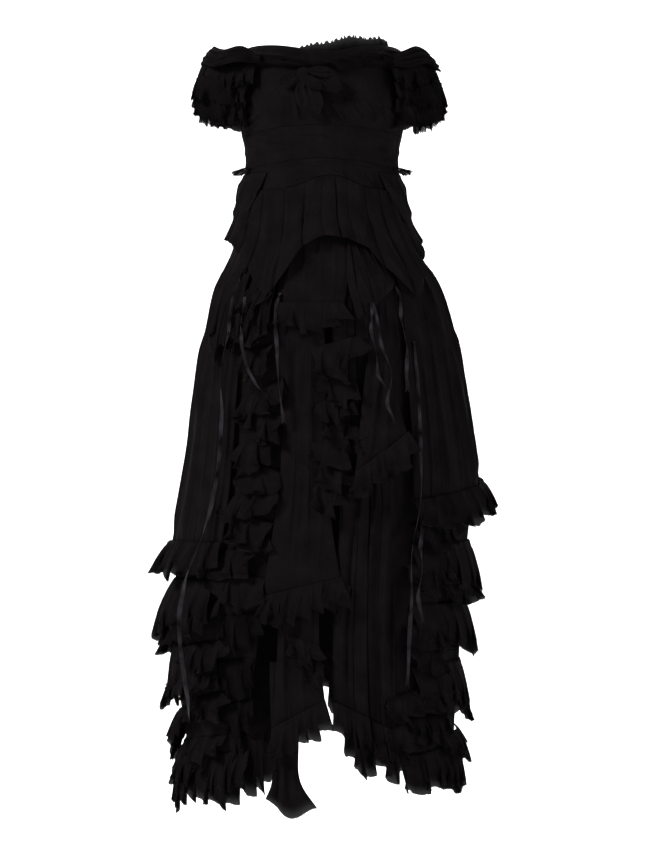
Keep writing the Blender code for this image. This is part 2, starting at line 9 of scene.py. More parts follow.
import bpy
import numpy as np
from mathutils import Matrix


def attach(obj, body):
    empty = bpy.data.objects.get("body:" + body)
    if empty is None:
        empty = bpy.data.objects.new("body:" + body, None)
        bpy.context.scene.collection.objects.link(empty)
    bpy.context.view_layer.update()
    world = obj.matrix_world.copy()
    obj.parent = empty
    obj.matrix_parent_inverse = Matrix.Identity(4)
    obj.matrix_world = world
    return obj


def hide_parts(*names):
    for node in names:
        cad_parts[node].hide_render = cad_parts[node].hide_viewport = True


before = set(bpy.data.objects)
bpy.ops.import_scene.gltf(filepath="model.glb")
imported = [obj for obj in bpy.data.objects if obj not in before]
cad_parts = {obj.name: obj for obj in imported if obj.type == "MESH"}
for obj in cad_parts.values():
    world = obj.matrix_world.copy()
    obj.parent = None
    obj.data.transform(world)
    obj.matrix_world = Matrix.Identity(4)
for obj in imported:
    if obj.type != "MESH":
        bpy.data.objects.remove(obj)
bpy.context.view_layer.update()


# Studio: a sweep of white paper under and behind the gown, soft white light from all round, two wide
# lamps in front and one behind, and a level camera 5 m in front of the middle of the gown.
class Link:
    """A socket that takes part in sums: each operator adds its Math node."""

    def __init__(self, finish, socket):
        self.finish, self.socket = finish, socket

    def math(self, operation, first, second):
        return self.finish.node("ShaderNodeMath", {"operation": operation}, {0: first, 1: second})

    def __add__(self, other):
        return self.math("ADD", self, other)

    def __mul__(self, other):
        return self.math("MULTIPLY", self, other)

    def __gt__(self, other):
        return self.math("GREATER_THAN", self, other)

    def least(self, other):
        return self.math("MINIMUM", self, other)

    __radd__, __rmul__ = __add__, __mul__


class Finish:
    """A material and its nodes."""

    def __init__(self, name):
        self.material = bpy.data.materials.new(name)
        self.material.use_nodes = True
        self.tree = self.material.node_tree
        self.shader = self.tree.nodes["Principled BSDF"]

    def node(self, kind, settings, sockets, output=0):
        """A node of that type, with its settings made first and its sockets given values or links."""
        made = self.tree.nodes.new(kind)
        for key, value in settings.items():
            if key == "stops":
                for stop, (place, colour) in zip(made.color_ramp.elements, value, strict=True):
                    stop.position, stop.color = place, colour
            else:
                setattr(made, key, value)
        for key, value in sockets.items():
            self.plug(made.inputs[key], value)
        return Link(self, made.outputs[output])

    def plug(self, socket, value):
        if isinstance(value, Link):
            self.tree.links.new(value.socket, socket)
        else:
            socket.default_value = value

    def wear(self, **sockets):
        """Sets the shader's own sockets, whose names have spaces in place of underscores."""
        for key, value in sockets.items():
            self.plug(self.shader.inputs[key.replace("_", " ")], value)
        return self.material


MM = 0.001


def mesh_piece(name, points, faces):
    """An object from rows of points in mm and rows of faces, which all have the same number of corners."""
    mesh = bpy.data.meshes.new(name)
    mesh.vertices.add(len(points))
    mesh.vertices.foreach_set("co", (points * MM).ravel())
    mesh.loops.add(faces.size)
    mesh.loops.foreach_set("vertex_index", faces.ravel())
    mesh.polygons.add(len(faces))
    mesh.polygons.foreach_set("loop_start", np.arange(0, faces.size, faces.shape[1]))
    mesh.update(calc_edges=True)
    piece = bpy.data.objects.new(name, mesh)
    bpy.context.scene.collection.objects.link(piece)
    return piece


def grid_mesh(name, points):
    """A grid of points as a mesh of quads: rows run down it and columns to the right, and it faces out."""
    rows, columns = points.shape[:2]
    index = np.arange(rows * columns).reshape(rows, columns)
    faces = np.stack([index[:-1, :-1], index[1:, :-1], index[1:, 1:], index[:-1, 1:]], axis=-1).reshape(-1, 4)
    piece = mesh_piece(name, points.reshape(-1, 3), faces)
    piece.data.shade_smooth()
    return piece, faces


FLOOR, BEND, WALL_AT = -1180.0, 1500.0, 7600.0
PAPER_REACH, PAPER_TOP = 9000.0, 6000.0
turn = np.linspace(0, np.pi / 2, 16)
profile = np.concatenate([
    [(-PAPER_REACH, FLOOR), (WALL_AT - BEND - 1, FLOOR)],
    np.stack([WALL_AT - BEND + BEND * np.sin(turn), FLOOR + BEND - BEND * np.cos(turn)], axis=1),
    [(WALL_AT, PAPER_TOP)],
])
across = np.linspace(-PAPER_REACH, PAPER_REACH, 5)
paper_points = np.stack(np.broadcast_arrays(across[None, :], profile[::-1, :1], profile[::-1, 1:]), axis=-1)
paper, _ = grid_mesh("paper_sweep", paper_points)
white = Finish("white_paper")
grain = white.node("ShaderNodeTexNoise", {}, {
    "Vector": white.node("ShaderNodeTexCoord", {}, {}, "Object"), "Scale": 60.0})
paper.data.materials.append(white.wear(
    Base_Color=white.node("ShaderNodeValToRGB", {"stops": [
        (0, (0.86, 0.86, 0.86, 1)), (1, (0.9, 0.9, 0.9, 1))]}, {"Fac": grain}),
    Roughness=0.9, Specular_IOR_Level=0.1, Emission_Color=(1.0, 1.0, 1.0, 1.0), Emission_Strength=0.8))

world = bpy.data.worlds.new("soft_light")
world.use_nodes = True
world.node_tree.nodes["Background"].inputs["Color"].default_value = (1, 1, 1, 1)
world.node_tree.nodes["Background"].inputs["Strength"].default_value = 0.3
bpy.context.scene.world = world
bpy.context.scene.view_settings.view_transform = "Standard"
LAMPS_AIM = np.array([0.0, 0.0, -0.45])
for name, place, size, watts in (
    ("lamp_left", (-3.2, -2.4, 2.3), 1.3, 430.0),
    ("lamp_right", (3.2, -2.0, 0.8), 1.6, 130.0),
    ("lamp_back", (0.0, 2.6, 1.8), 2.5, 80.0),
):
    lamp = bpy.data.lights.new(name, "AREA")
    lamp.size, lamp.energy = size, watts
    lamp_object = bpy.data.objects.new(name, lamp)
    lamp_object.location = place
    aim = LAMPS_AIM - np.array(place)
    tilt, heading = math.atan2(math.hypot(aim[0], aim[1]), -aim[2]), math.atan2(-aim[0], aim[1])
    lamp_object.rotation_euler = (tilt, 0, heading)
    bpy.context.scene.collection.objects.link(lamp_object)

CAMERA_ASIDE, CAMERA_BACK, CAMERA_HEIGHT = 0.0025, 5.0, -0.448
VIEW_HEIGHT = 1.45
camera = bpy.data.cameras.new("camera")
camera.lens = camera.sensor_width * CAMERA_BACK / VIEW_HEIGHT
camera_object = bpy.data.objects.new("camera", camera)
camera_object.location = (CAMERA_ASIDE, -CAMERA_BACK, CAMERA_HEIGHT)
camera_object.rotation_euler = (math.pi / 2, 0, 0)
bpy.context.scene.collection.objects.link(camera_object)
bpy.context.scene.camera = camera_object


# Bodice: crinkled silk moulded over two cups, in a front and two backs, with diagonal tucks under the
# right cup and pulls at the left side. All of the gown is laid out on the form that it is worn on.
FORM = np.array([
    # height, centre, half width, front depth, back depth
    (-1110, -8, 206, 184, 232), (-960, -4, 216, 190, 240), (-840, -8, 226, 196, 246),
    (-740, -8, 234, 198, 246), (-640, 2, 232, 194, 240), (-560, 12, 229, 188, 230),
    (-480, 14, 220, 180, 216), (-380, 13, 209, 168, 196), (-280, 12, 196, 152, 170),
    (-200, 9, 177, 136, 146), (-140, 5, 150, 121, 128), (-90, 1, 138, 109, 112), (-40, 0, 132, 98, 96),
    (5, 0, 127, 92, 86), (60, 0, 133, 100, 90), (120, 0, 136, 104, 94), (215, 0, 124, 86, 86),
], float)
INSIDE = 0.35           # the thin cloth's inner face, off the inner face of its solid
CLOTH = 0.5             # thickness of the layered silk as modelled
OVER = 2.2              # lift of a piece that lies on another one
BACK_EDGE = 179.95
SIDE_SEAM = 75.0
laid = {}


def smooth(knots, values, at):
    """A cubic curve through the knots whose slope at each knot comes from its neighbours."""
    slopes = np.gradient(values, knots)
    first = np.clip(np.searchsorted(knots, at) - 1, 0, len(knots) - 2)
    span = knots[first + 1] - knots[first]
    t = (at - knots[first]) / span
    return (
        values[first] * (1 + 2 * t) * (1 - t) ** 2 + values[first + 1] * t ** 2 * (3 - 2 * t)
        + span * slopes[first] * t * (1 - t) ** 2 - span * slopes[first + 1] * t ** 2 * (1 - t)
    )


def on_form(angle, height, lift):
    """Points that stand off an ellipse, whose width and front and back depth change with the height."""
    angle, height, lift = np.broadcast_arrays(angle, height, lift)
    centre, half, front, back = (smooth(FORM[:, 0], FORM[:, column], height) for column in (1, 2, 3, 4))
    sideways, ahead = np.sin(np.radians(angle)), np.cos(np.radians(angle))
    depth = np.where(ahead > 0, front, back)
    out = np.stack([sideways / half, -ahead / depth], axis=-1)
    out /= np.linalg.norm(out, axis=-1, keepdims=True)
    x = centre + half * sideways + out[..., 0] * lift
    y = -depth * ahead + out[..., 1] * lift
    return np.stack([x, y, height], axis=-1)


def bump(u):
    """A soft rise from 0 at both ends to 1 in the middle."""
    return np.sin(np.pi * np.clip(u, 0, 1)) ** 2


CUP_ANGLE, CUP_HALF_ANGLE = 37, 18
CUP_HEIGHT, CUP_HALF_HEIGHT, CUP_RISE = 92, 34, 16


def bust(angle, height):
    """Two moulded cups, one to each side: a bell in angle times a bell in height."""
    sides = sum(np.exp(-((angle - side * CUP_ANGLE) / CUP_HALF_ANGLE) ** 2) for side in (-1, 1))
    return CUP_RISE * sides * np.exp(-((height - CUP_HEIGHT) / CUP_HALF_HEIGHT) ** 2)


def creases(angle, height, table, degree=2.3, sharp=1.5):
    """Ridges and troughs along straight segments, each a little steeper on its lower side.

    Each row is a segment's first angle and height, its last angle and height, its half width and its
    rise, both in mm. The rise falls off to the sides as a bell and dies out at both ends. Degree is
    the length in mm of one degree round the piece.
    """
    total = np.zeros(np.broadcast(angle, height).shape)
    for a0, h0, a1, h1, half, rise in table:
        x, y, dx, dy = (angle - a0) * degree, height - h0, (a1 - a0) * degree, h1 - h0
        length = math.hypot(dx, dy)
        along, off = (x * dx + y * dy) / length ** 2, (x * dy - y * dx) / length
        ends = np.exp(-(np.maximum(np.abs(along - 0.5) - 0.34, 0) / 0.1) ** 2)
        off = off / half * np.where(off * rise > 0, 1.5, 0.85)
        total = total + sharp * rise * np.exp(-np.abs(off) ** 1.4) * ends
    return total


def to_side(side, table):
    """Creases drawn for the right, as they are (1) or mirrored to the left (-1)."""
    return [(side * a0, h0, side * a1, h1, half, rise) for a0, h0, a1, h1, half, rise in table]


def rightwards(angle):
    """The same columns in order from left to right, which makes the mesh face out."""
    return angle if angle[0, 0] < angle[0, -1] else angle[:, ::-1]


def crumple(angle, height, seed, size=1.0):
    """Fine uneven wrinkles of the crinkled silk: six crossed waves, each bent by the next."""
    total = 0
    for k in range(6):
        a, b, c = math.sin(seed * 3.1 + k * 2.4), math.cos(seed * 1.7 + k * 4.1), seed * 5.3 + k
        total = total + np.sin(angle * (0.5 + 0.35 * k) * (0.6 + 0.4 * a) + height * 0.045 * b + c
                               + 1.3 * np.sin(height * 0.021 * (1 + 0.5 * a) + c)) / (1.4 + 0.5 * k)
    return size * 0.42 * total


def silk(name, sheer=1.0, frayed=0.0, glow=0.0041):
    """Black silk crepe: long crinkles over a fine crossed weave, hems that thin out and end in loose threads.

    The piece's UVs are the cloth's own lengths in metres, and the second one is the distance from the
    free edge.
    """
    f = Finish(name)
    uv = f.node("ShaderNodeTexCoord", {}, {}, "UV")
    edge = f.node("ShaderNodeSeparateXYZ", {}, {"Vector": uv}, "Y")
    stretched = f.node("ShaderNodeMapping", {}, {"Vector": uv, "Scale": (1.0, 0.28, 1.0)})
    crinkle = f.node("ShaderNodeTexNoise", {}, {
        "Vector": stretched, "Scale": 420.0, "Detail": 3.0, "Roughness": 0.6})
    patches = f.node("ShaderNodeTexNoise", {}, {"Vector": uv, "Scale": 22.0, "Detail": 2.0})
    warp, weft = (f.node("ShaderNodeTexWave", {"bands_direction": way}, {
        "Vector": uv, "Scale": 520.0, "Distortion": 1.5}) for way in ("X", "Y"))
    relief = crinkle + (warp + weft) * 0.12
    # Base colour follows random patches and the crinkles' height, so the crinkles' troughs are darker: random
    # tone and painted shade.
    patches_and_painted_crinkle_shade = (patches * 0.6 + crinkle * 0.4).least(1.0)
    dark, light = (glow * 0.26, glow * 0.21, glow * 0.23, 1), (glow * 1.06, glow * 0.86, glow * 0.92, 1)
    sockets = dict(
        Base_Color=f.node("ShaderNodeValToRGB", {"stops": [(0.25, dark), (0.8, light)]}, {"Fac": patches_and_painted_crinkle_shade}),
        Roughness=0.8 + 0.15 * crinkle,
        Specular_IOR_Level=0.01, Sheen_Weight=0.002, Sheen_Roughness=0.5,
        Normal=f.node("ShaderNodeBump", {}, {"Strength": 0.5, "Distance": 0.0007, "Height": relief}),
    )
    if frayed:
        strands = f.node("ShaderNodeMapping", {}, {"Vector": uv, "Scale": (1.0, 0.06, 1.0)})
        loose = f.node("ShaderNodeTexNoise", {}, {"Vector": strands, "Scale": 1500.0, "Detail": 1.0})
        kept = (loose + edge * (1 / frayed)) > 0.62
        thin = (sheer + edge * ((1 - sheer) / 0.02)).least(1.0)
        sockets["Alpha"] = kept * thin
    return f.wear(**sockets)


def measure(points):
    """The lengths of a grid's cells across and down it, and their total area, in mm."""
    across = np.linalg.norm(np.diff(points, axis=1), axis=2)
    down = np.linalg.norm(np.diff(points, axis=0), axis=2)
    diagonal = points[1:, 1:] - points[:-1, :-1]
    other = points[1:, :-1] - points[:-1, 1:]
    return across, down, np.linalg.norm(np.cross(diagonal, other), axis=2).sum() / 2


def lengths_along(across, down):
    """How far along the cloth each column and each row of a grid is, as running sums of its mean cells."""
    run = np.concatenate([[0], across.mean(axis=0).cumsum()])
    fall = np.concatenate([[0], down.mean(axis=1).cumsum()])
    return run, fall


def lay_out(piece, faces, first, second):
    """Writes two lengths at each point of a grid, in metres, into the UVs of its faces."""
    uv = piece.data.uv_layers.new(name="cloth")
    flat = np.stack([first, second], axis=-1).reshape(-1, 2)
    uv.data.foreach_set("uv", (flat[faces.ravel()] * MM).ravel())


def sew(name, points, finish, free="hem", cloth=CLOTH, node=True):
    """A piece of cloth from a grid of points: its mesh, its own lengths as UVs, its thickness and its cut.

    The free edge, at the hem or at the top, is where the second UV is 0.
    """
    piece, faces = grid_mesh("cloth_" + name, points)
    across, down, area = measure(points)
    run, fall = lengths_along(across, down)
    second, first = np.meshgrid(fall[-1] - fall if free == "hem" else fall, run, indexing="ij")
    lay_out(piece, faces, first, second)
    piece.data.materials.append(finish)
    wall = piece.modifiers.new("thickness", "SOLIDIFY")
    wall.thickness, wall.offset = cloth * MM, 1
    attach(piece, "gown")
    if node:
        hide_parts(name)
    return piece


def lay(name, angle, height, lift, finish, free="hem", node=True):
    """Cloth laid on the form, whose places are kept so that other pieces can be set on it."""
    places = np.array(np.broadcast_arrays(angle, height, lift))
    laid[name] = places
    points = on_form(places[0], places[1], places[2] + INSIDE)
    return sew(name, points, finish, free, node=node)


def mesh_grid(across, down):
    """Shares of the way across (0 to 1, columns) and down (0 to 1, rows)."""
    return np.linspace(0, 1, across + 1)[None, :], np.linspace(0, 1, down + 1)[:, None]


plain_silk = silk("silk_plain")
CUP_CREASES = [
    # angle, height, angle, height, half width, rise
    (-2, 92, 8, 60, 2.2, 2.2), (6, 96, 17, 60, 2.4, 2.6), (15, 100, 30, 60, 2.6, 3.0),
    (27, 96, 40, 62, 2.4, 2.8), (38, 92, 50, 66, 2.2, 2.4), (12, 124, 24, 104, 2.5, 1.4),
    (48, 84, 60, 76, 2.0, 1.6), (0, 70, -8, 110, 4.0, 1.5), (-72, 66, -44, 76, 2.2, 2.4),
    (-74, 58, -50, 62, 2.0, 2.0), (-74, 78, -58, 92, 2.4, 1.8), (-44, 100, -30, 118, 3.5, 1.1),
    (-20, 118, -16, 64, 3.5, 1.6), (66, 120, 56, 84, 2.6, 1.2), (72, 60, 56, 56, 2.0, 1.8),
    (-60, 124, -52, 96, 3.0, 1.0),
]
u, v = mesh_grid(190, 60)
angle = -SIDE_SEAM + 2 * SIDE_SEAM * u
dip = bump(u)
top, low = 166 - 14 * dip, 47 + 11 * dip
height = top + (low - top) * v
lift = bust(angle, height) + creases(angle, height, CUP_CREASES, sharp=2.8) + crumple(angle, height, 1.0, 0.5)
lay("bodice_front", angle, height, lift + 0.3, plain_silk)

BACK_CREASES = [
    (84, 150, 90, 30, 4.0, 1.6), (100, 40, 130, 34, 2.6, 1.8), (96, 12, 140, 22, 2.4, 1.7),
    (120, 2, 168, 12, 2.4, 1.6), (110, 96, 116, 14, 4.0, 1.4), (140, 140, 150, 40, 4.5, 1.2),
    (84, 22, 104, 16, 2.2, 1.6),
]
for side, name in ((-1, "left"), (1, "right")):
    u, v = mesh_grid(70, 44)
    angle = rightwards(side * ((SIDE_SEAM + 0.15) + (BACK_EDGE - SIDE_SEAM - 0.15) * u))
    top = 166 - 4 * (np.abs(angle) - SIDE_SEAM) / 105
    height = top + (-9 - top) * v
    lift = creases(angle, height, to_side(side, BACK_CREASES)) * np.clip((height + 9) / 16, 0, 1)
    lift = lift + crumple(angle, height, 2.0 + side, 0.5)
    lay(f"bodice_back_{name}", angle, height, lift + 0.3, plain_silk)


# Midriff, hip yoke and the band over it: shaped silk panels, the band folded under along both edges,
# with slack pulls across the waist.
def waistline(angle):
    """The seam under the midriff: level at the sides, 12 mm higher at the front."""
    return -9 + 12 * bump((angle + SIDE_SEAM) / (2 * SIDE_SEAM))


def yoke_seam(angle):
    """The seam that the peplum hangs from: arched under the band, then falling to the sides."""
    return -45 + 20 * bump((angle + 27) / 66) - 15 * (angle / 76) ** 4


u, v = mesh_grid(150, 26)
angle = -SIDE_SEAM + 2 * SIDE_SEAM * u
top, low = 46.7 + 11 * bump(u), waistline(angle)
height = top + (low - top) * v
MIDRIFF_CREASES = [
    (-70, 40, -30, 30, 2.6, 1.8), (-66, 14, -24, 20, 2.4, 1.8), (-20, 44, 16, 40, 2.6, 1.2),
    (20, 22, 66, 12, 2.6, 1.8), (30, 40, 70, 30, 2.4, 1.6), (-50, 0, -20, 8, 2.0, 1.4),
    (-74, 26, -56, 22, 2.2, 2.0), (52, 2, 74, -2, 2.0, 1.6),
]
lift = bust(angle, height) + creases(angle, height, MIDRIFF_CREASES, sharp=1.8)
lift = lift + crumple(angle, height, 4.0, 0.45)
lay("midriff_front", angle, height, lift + 0.2, plain_silk)

u, v = mesh_grid(160, 14)
angle = -BACK_EDGE + 2 * BACK_EDGE * u
YOKE_HEM, TURNED_IN = -152, -136
height = waistline(angle) - 0.3 + (YOKE_HEM - waistline(angle)) * v
seam_allowance = -1.2 * np.clip((TURNED_IN - height) / 6, 0, 1)
lay("hip_yoke", angle, height, crumple(angle, height, 5.0, 0.4) + seam_allowance, plain_silk)

u, v = mesh_grid(110, 22)
angle = -27 + 66 * u
top, low = -12 + 12 * bump(u), -45 + 20 * bump(u)
height = top + (low - top) * v
rolled = 0.9 * np.exp(-(v / 0.08) ** 2) + 0.9 * np.exp(-((1 - v) / 0.08) ** 2)
BAND_CREASES = [
    (-25, -14, -14, -28, 1.8, 2.2), (-22, -34, -6, -26, 1.6, 1.4), (14, -16, 17, -34, 1.8, 2.0),
    (30, -20, 37, -42, 1.8, 2.2), (-6, -6, 10, -18, 2.2, 1.0), (20, -10, 28, -30, 2.0, 1.0),
]
lift = OVER + rolled + creases(angle, height, BAND_CREASES) + crumple(angle, height, 6.0, 0.3)
lay("yoke_front", angle, height, lift, plain_silk)


# Peplum: silk in fan pleats that are caught in the yoke seam and open towards a hem with two long
# points. The tops of the pleats are round and the folds between them are sharp.
def pleats(turns):
    """Round pleats with sharp folds between them, from 0 to 1, one for each turn."""
    return np.sqrt(0.5 + 0.5 * np.sin(2 * np.pi * turns))


def grooves(turns, width=0.15):
    """Flat cloth, at 1, with one narrow fold sunk into it down to 0 for each turn."""
    return 1 - np.exp(-(np.abs(np.sin(np.pi * turns)) / width) ** 1.3)


PEPLUM_HEM = np.array([
    # angle, height
    (-76, -128), (-62, -138), (-44, -181), (-30, -231), (-24, -198), (-12, -144), (0, -127), (14, -132),
    (25, -149), (33, -186), (46, -229), (61, -168), (78, -128),
], float)
u, v = mesh_grid(336, 26)
angle = -76 + 154 * u
hem = np.interp(angle, PEPLUM_HEM[:, 0], PEPLUM_HEM[:, 1])
top = yoke_seam(angle) - 0.9
turns = 14 * u + 0.16 * np.sin(2 * np.pi * 3.3 * u + 1) + 0.1 * np.sin(2 * np.pi * 7.1 * u)
sunk = 0.55 + 0.45 * np.sin(2 * np.pi * 5.3 * u + 2)
folds = grooves(turns + 0.25 + 0.05 * np.sin(5 * v + 9 * u), 0.12)
fan = 0.4 * pleats(turns) + 0.8 * (1 - sunk * (1 - folds))
uneven = 0.8 + 0.2 * np.sin(2 * np.pi * 2.6 * u + 0.7)
lift = OVER + 13 * v ** 1.2 + 12.0 * fan * (0.3 + 0.7 * v ** 0.8) * uneven
lift = lift + 0.5 * pleats(turns * 2.7) * np.exp(-(v / 0.25) ** 2) - 2.0
angle = angle + 0.5 * v * np.cos(2 * np.pi * turns)
height = top + (hem - top) * v
PEPLUM_CREASES = [
    (-30, -110, -44, -160, 3.0, 2.6), (-50, -80, -62, -126, 3.0, 2.4), (30, -96, 22, -136, 2.6, 2.2),
    (40, -120, 47, -210, 3.0, 2.8), (52, -70, 66, -140, 3.0, 2.4), (-22, -90, -30, -200, 3.0, 2.4),
    (-8, -60, -12, -134, 2.4, 1.8), (8, -50, 10, -120, 2.4, 1.6), (34, -150, 40, -200, 2.4, 2.2),
    (-34, -150, -31, -215, 2.4, 2.0),
]
lift = lift + creases(angle, height, PEPLUM_CREASES, 2.8) * np.clip(4 * v, 0, 1)
lay("peplum", angle, height, lift + crumple(angle, height, 7.0, 0.5), plain_silk)


# Hip flaps: silk that wraps the hips from the band's ends to the centre back, over the peplum's ends.
# A sheer pleated frill stands out of the waist seam at each side.
def panel(name, edges, lifts, across, down, folds, depth, table, seed, wrinkle,
          finish=None, tucks=0, tuck=0.0):
    """A cut panel that hangs from its top edge, with its folds and creases.

    Each row of edges is the left edge's angle and height, the right edge's, and how far the middle is
    above the line between them. The lift runs from its first value at the top to its second at the
    hem, and the folds deepen from nothing on the way down. Tucks are narrow folds sunk into it.
    """
    u, v = mesh_grid(across, down)
    rows = np.array(edges, float)
    knots = np.linspace(0, 1, len(rows))
    left, left_height, right, right_height, arch = (smooth(knots, rows[:, k], v) for k in range(5))
    angle = np.clip(left + (right - left) * u, -BACK_EDGE, BACK_EDGE)
    height = left_height + (right_height - left_height) * u + arch * bump(u)
    swell = 0.5 + 0.5 * np.sin(2 * np.pi * folds * u + 0.6 * np.sin(5 * u))
    lift = lifts[0] + (lifts[1] - lifts[0]) * v + depth * swell * v ** 0.8
    lift = lift + creases(angle, height, table, 3.6) * np.clip(v * 8, 0.2, 1)
    lift = lift + crumple(angle, height, seed, wrinkle * 0.8)
    if tucks:
        wander = tucks * u + 0.16 * np.sin(2 * np.pi * 1.7 * u * tucks / 5 + seed)
        wander = wander + 0.1 * np.sin(3 * v + seed + 8 * u)
        uneven = 0.55 + 0.45 * np.sin(9.4 * u + seed)
        lift = lift + tuck * (grooves(wander) - 0.75) * uneven * np.clip(v * 5, 0.1, 1)
    lay(name, angle, height, lift, finish or plain_silk)


FLAP_CREASES = [
    (50, -28, 62, -84, 4.5, 2.5), (66, -26, 84, -92, 5.0, 3.0), (88, -24, 108, -96, 5.0, 2.6),
    (112, -26, 132, -104, 5.5, 3.0), (138, -26, 156, -110, 5.0, 2.4), (160, -24, 172, -112, 4.5, 2.6),
    (44, -50, 70, -58, 3.0, 1.6), (96, -80, 130, -92, 4.0, 1.6),
]
panel("hip_flap_left",
      [(-BACK_EDGE, -17, -44, -19, 0), (-BACK_EDGE, -62, -50, -54, 0), (-BACK_EDGE, -128, -62, -104, -8)],
      (OVER, OVER + 9), 209, 26, 2, 2.0, to_side(-1, FLAP_CREASES), 8.0, 0.9, tucks=19, tuck=4.0)
panel("hip_flap_right",
      [(46, -19, BACK_EDGE, -17, 0), (53, -56, BACK_EDGE, -62, 0), (65, -106, BACK_EDGE, -128, -4)],
      (OVER, OVER + 9), 209, 26, 2, 2.0, FLAP_CREASES, 9.0, 0.9, tucks=19, tuck=4.0)


SKIRT_DEGREE = 4.0       # mm round the skirt for each degree


def lift_at(carrier, angle, height):
    """The lift of cloth that is laid already, at the nearest point of its grid."""
    grid = laid[carrier].reshape(3, -1)
    angle, height = np.broadcast_arrays(angle, height)
    aside, below = SKIRT_DEGREE * (grid[0] - angle.reshape(-1, 1)), grid[1] - height.reshape(-1, 1)
    apart = aside ** 2 + below ** 2
    return grid[2][apart.argmin(axis=1)].reshape(angle.shape)


def line_on(carrier, left, left_height, right, right_height):
    """A gathering line drawn across cloth that is laid already: its angle, height and lift."""
    u = np.linspace(0, 1, 41)
    angle, height = left + (right - left) * u, left_height + (right_height - left_height) * u
    lift = lift_at(carrier, angle, height)
    return np.array([angle, height, np.convolve(np.pad(lift, 2, mode="edge"), np.ones(5) / 5, "valid")])


def hem_of(name):
    """The gathering line along a panel's hem."""
    return laid[name][:, -1, :]


strands = []
stitches = []
STITCHES_PROUD = 0.1     # lift of a line of stitches off the cloth


def fray(edge, inner, chance, scatter):
    """Keeps a root, a way out and three random shares for a loose thread at every other point of an edge."""
    for tip, root in zip(edge[::2], inner[::2]):
        away = tip - root
        strands.append((tip + chance.normal(0, scatter, 3), away / np.linalg.norm(away), chance.random(3)))


def stitch_along(name, row):
    """Keeps the line of stitches that runs along one row of a laid piece."""
    angle, height, lift = laid[name][:, row]
    stitches.append(on_form(angle, height, lift + INSIDE + CLOTH + STITCHES_PROUD))


HIP_DEGREE = 3.7         # mm round the hips for each degree
PINCH_HALF = 0.035       # half of the pinched band, as a share of the strip from its top to its hem
DEEPEST_GATHER = 6.5


def flounce(name, heading, drop, waves, depth, flare, spread=1.0, phase=0.0, rise=8.0, over=OVER,
            gathers=3, rows=12, finish=None, node=True, curl=0.45, jag=3.0,
            per=7, short_ends=0.3, stands_for=None):
    """A strip of silk gathered along its heading, with a fluted, raw hem.

    It starts a little above the heading as a narrow frill, is pinched at the line of stitches, and
    then stands out by its flare and its waves. Fine round gathers with sharp folds between them run
    down the strip, the flutes lean sideways over the folds, and the hem is jagged. Towards both ends
    the strip loses a share of its drop. Per is the number of columns for each gather.
    """
    seed = sum(map(ord, name)) * 0.37
    chance = np.random.default_rng(sum(map(ord, name)))
    u = np.linspace(0, 1, waves * gathers * per + 1)[None, :]
    v = np.linspace(0, 1, rows + 1)[:, None] ** 1.15
    places = np.linspace(0, 1, heading.shape[1])
    angle, height, lift = (np.interp(u[0], places, row)[None, :] for row in heading)
    span = abs(heading[0, -1] - heading[0, 0]) * HIP_DEGREE / waves
    turn = 2 * np.pi * waves * u + phase + 0.9 * np.sin(2 * np.pi * 1.6 * u + seed)
    turn = turn + 0.5 * np.sin(2 * np.pi * 3.7 * u + 2 * seed)
    wave = (0.5 + 0.5 * np.sin(turn)) * (0.75 + 0.25 * np.sin(7 * u + phase))
    drift = 0.33 * np.sin(turn * 0.37 + seed) + 0.2 * np.sin(turn * 0.83 + 2 * seed)
    fine = pleats(waves * gathers * u + drift + 0.05 * v * np.sin(turn * 1.7 + seed))
    strength = 0.65 + 0.35 * np.sin(turn * 0.61 + seed)
    gather = min(0.2 * span, DEEPEST_GATHER)
    stitched = rise / (rise + drop)
    pinch = np.exp(-((v - stitched) / PINCH_HALF) ** 2)
    ends = np.abs(2 * u - 1) ** 4
    out = lift + over + v ** 0.7 * (flare + depth * wave) * (1 - 0.33 * ends)
    out = out + (1.1 + gather * v ** 0.8) * fine * strength * (1 - 0.6 * pinch)
    out = out + 1.6 * np.clip(1 - v / stitched, 0, 1) - 0.5 * pinch
    long = 1 + 0.1 * np.sin(2 * np.pi * 1.3 * u + seed) + 0.07 * np.sin(2 * np.pi * 3.1 * u + 2 * seed)
    length = drop * (1 - short_ends * np.abs(2 * u - 1) ** 2.5) * long + rise
    low = height + rise - v * length * (0.93 + 0.07 * np.cos(turn))
    low = low + v ** 2 * 2.5 * np.sin(turn * gathers * 0.5 + seed)
    tufts = waves * gathers * 3 + 1
    coarse = np.interp(u[0], np.linspace(0, 1, tufts), chance.random(tufts))
    low[-1] += jag * (0.6 * chance.random(u.shape[1]) + 0.9 * coarse - 0.6)
    lean = curl * span / HIP_DEGREE * v ** 1.3 * np.cos(turn) * 0.8
    lean = lean + 0.1 * span / gathers / HIP_DEGREE * v * np.cos(2 * np.pi * waves * gathers * u)
    angle = angle + (angle - angle.mean()) * (spread - 1) * v + lean
    piece = lay(name, angle, low, out, finish or hem_silk, node=node)
    if stands_for:
        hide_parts(stands_for)
    last_rows = on_form(*laid[name][:, -3:, :])
    fray(last_rows[-1], last_rows[0], chance, 0.4)
    stitch_along(name, int(np.argmin(np.abs(v[:, 0] - stitched))))


hem_silk = silk("silk_hem", sheer=0.86, frayed=0.006)
sheer_silk = silk("silk_sheer", sheer=0.6, frayed=0.012)
for side, name in ((-1, "left"), (1, "right")):
    ends = sorted((side * 66, side * 118))
    flounce(f"side_frill_{name}", line_on("hip_yoke", ends[0], -10, ends[1], -10), 6, 4, 6, 13, rise=3,
            gathers=6, curl=0.1, rows=10, finish=sheer_silk, per=6, jag=5.0)


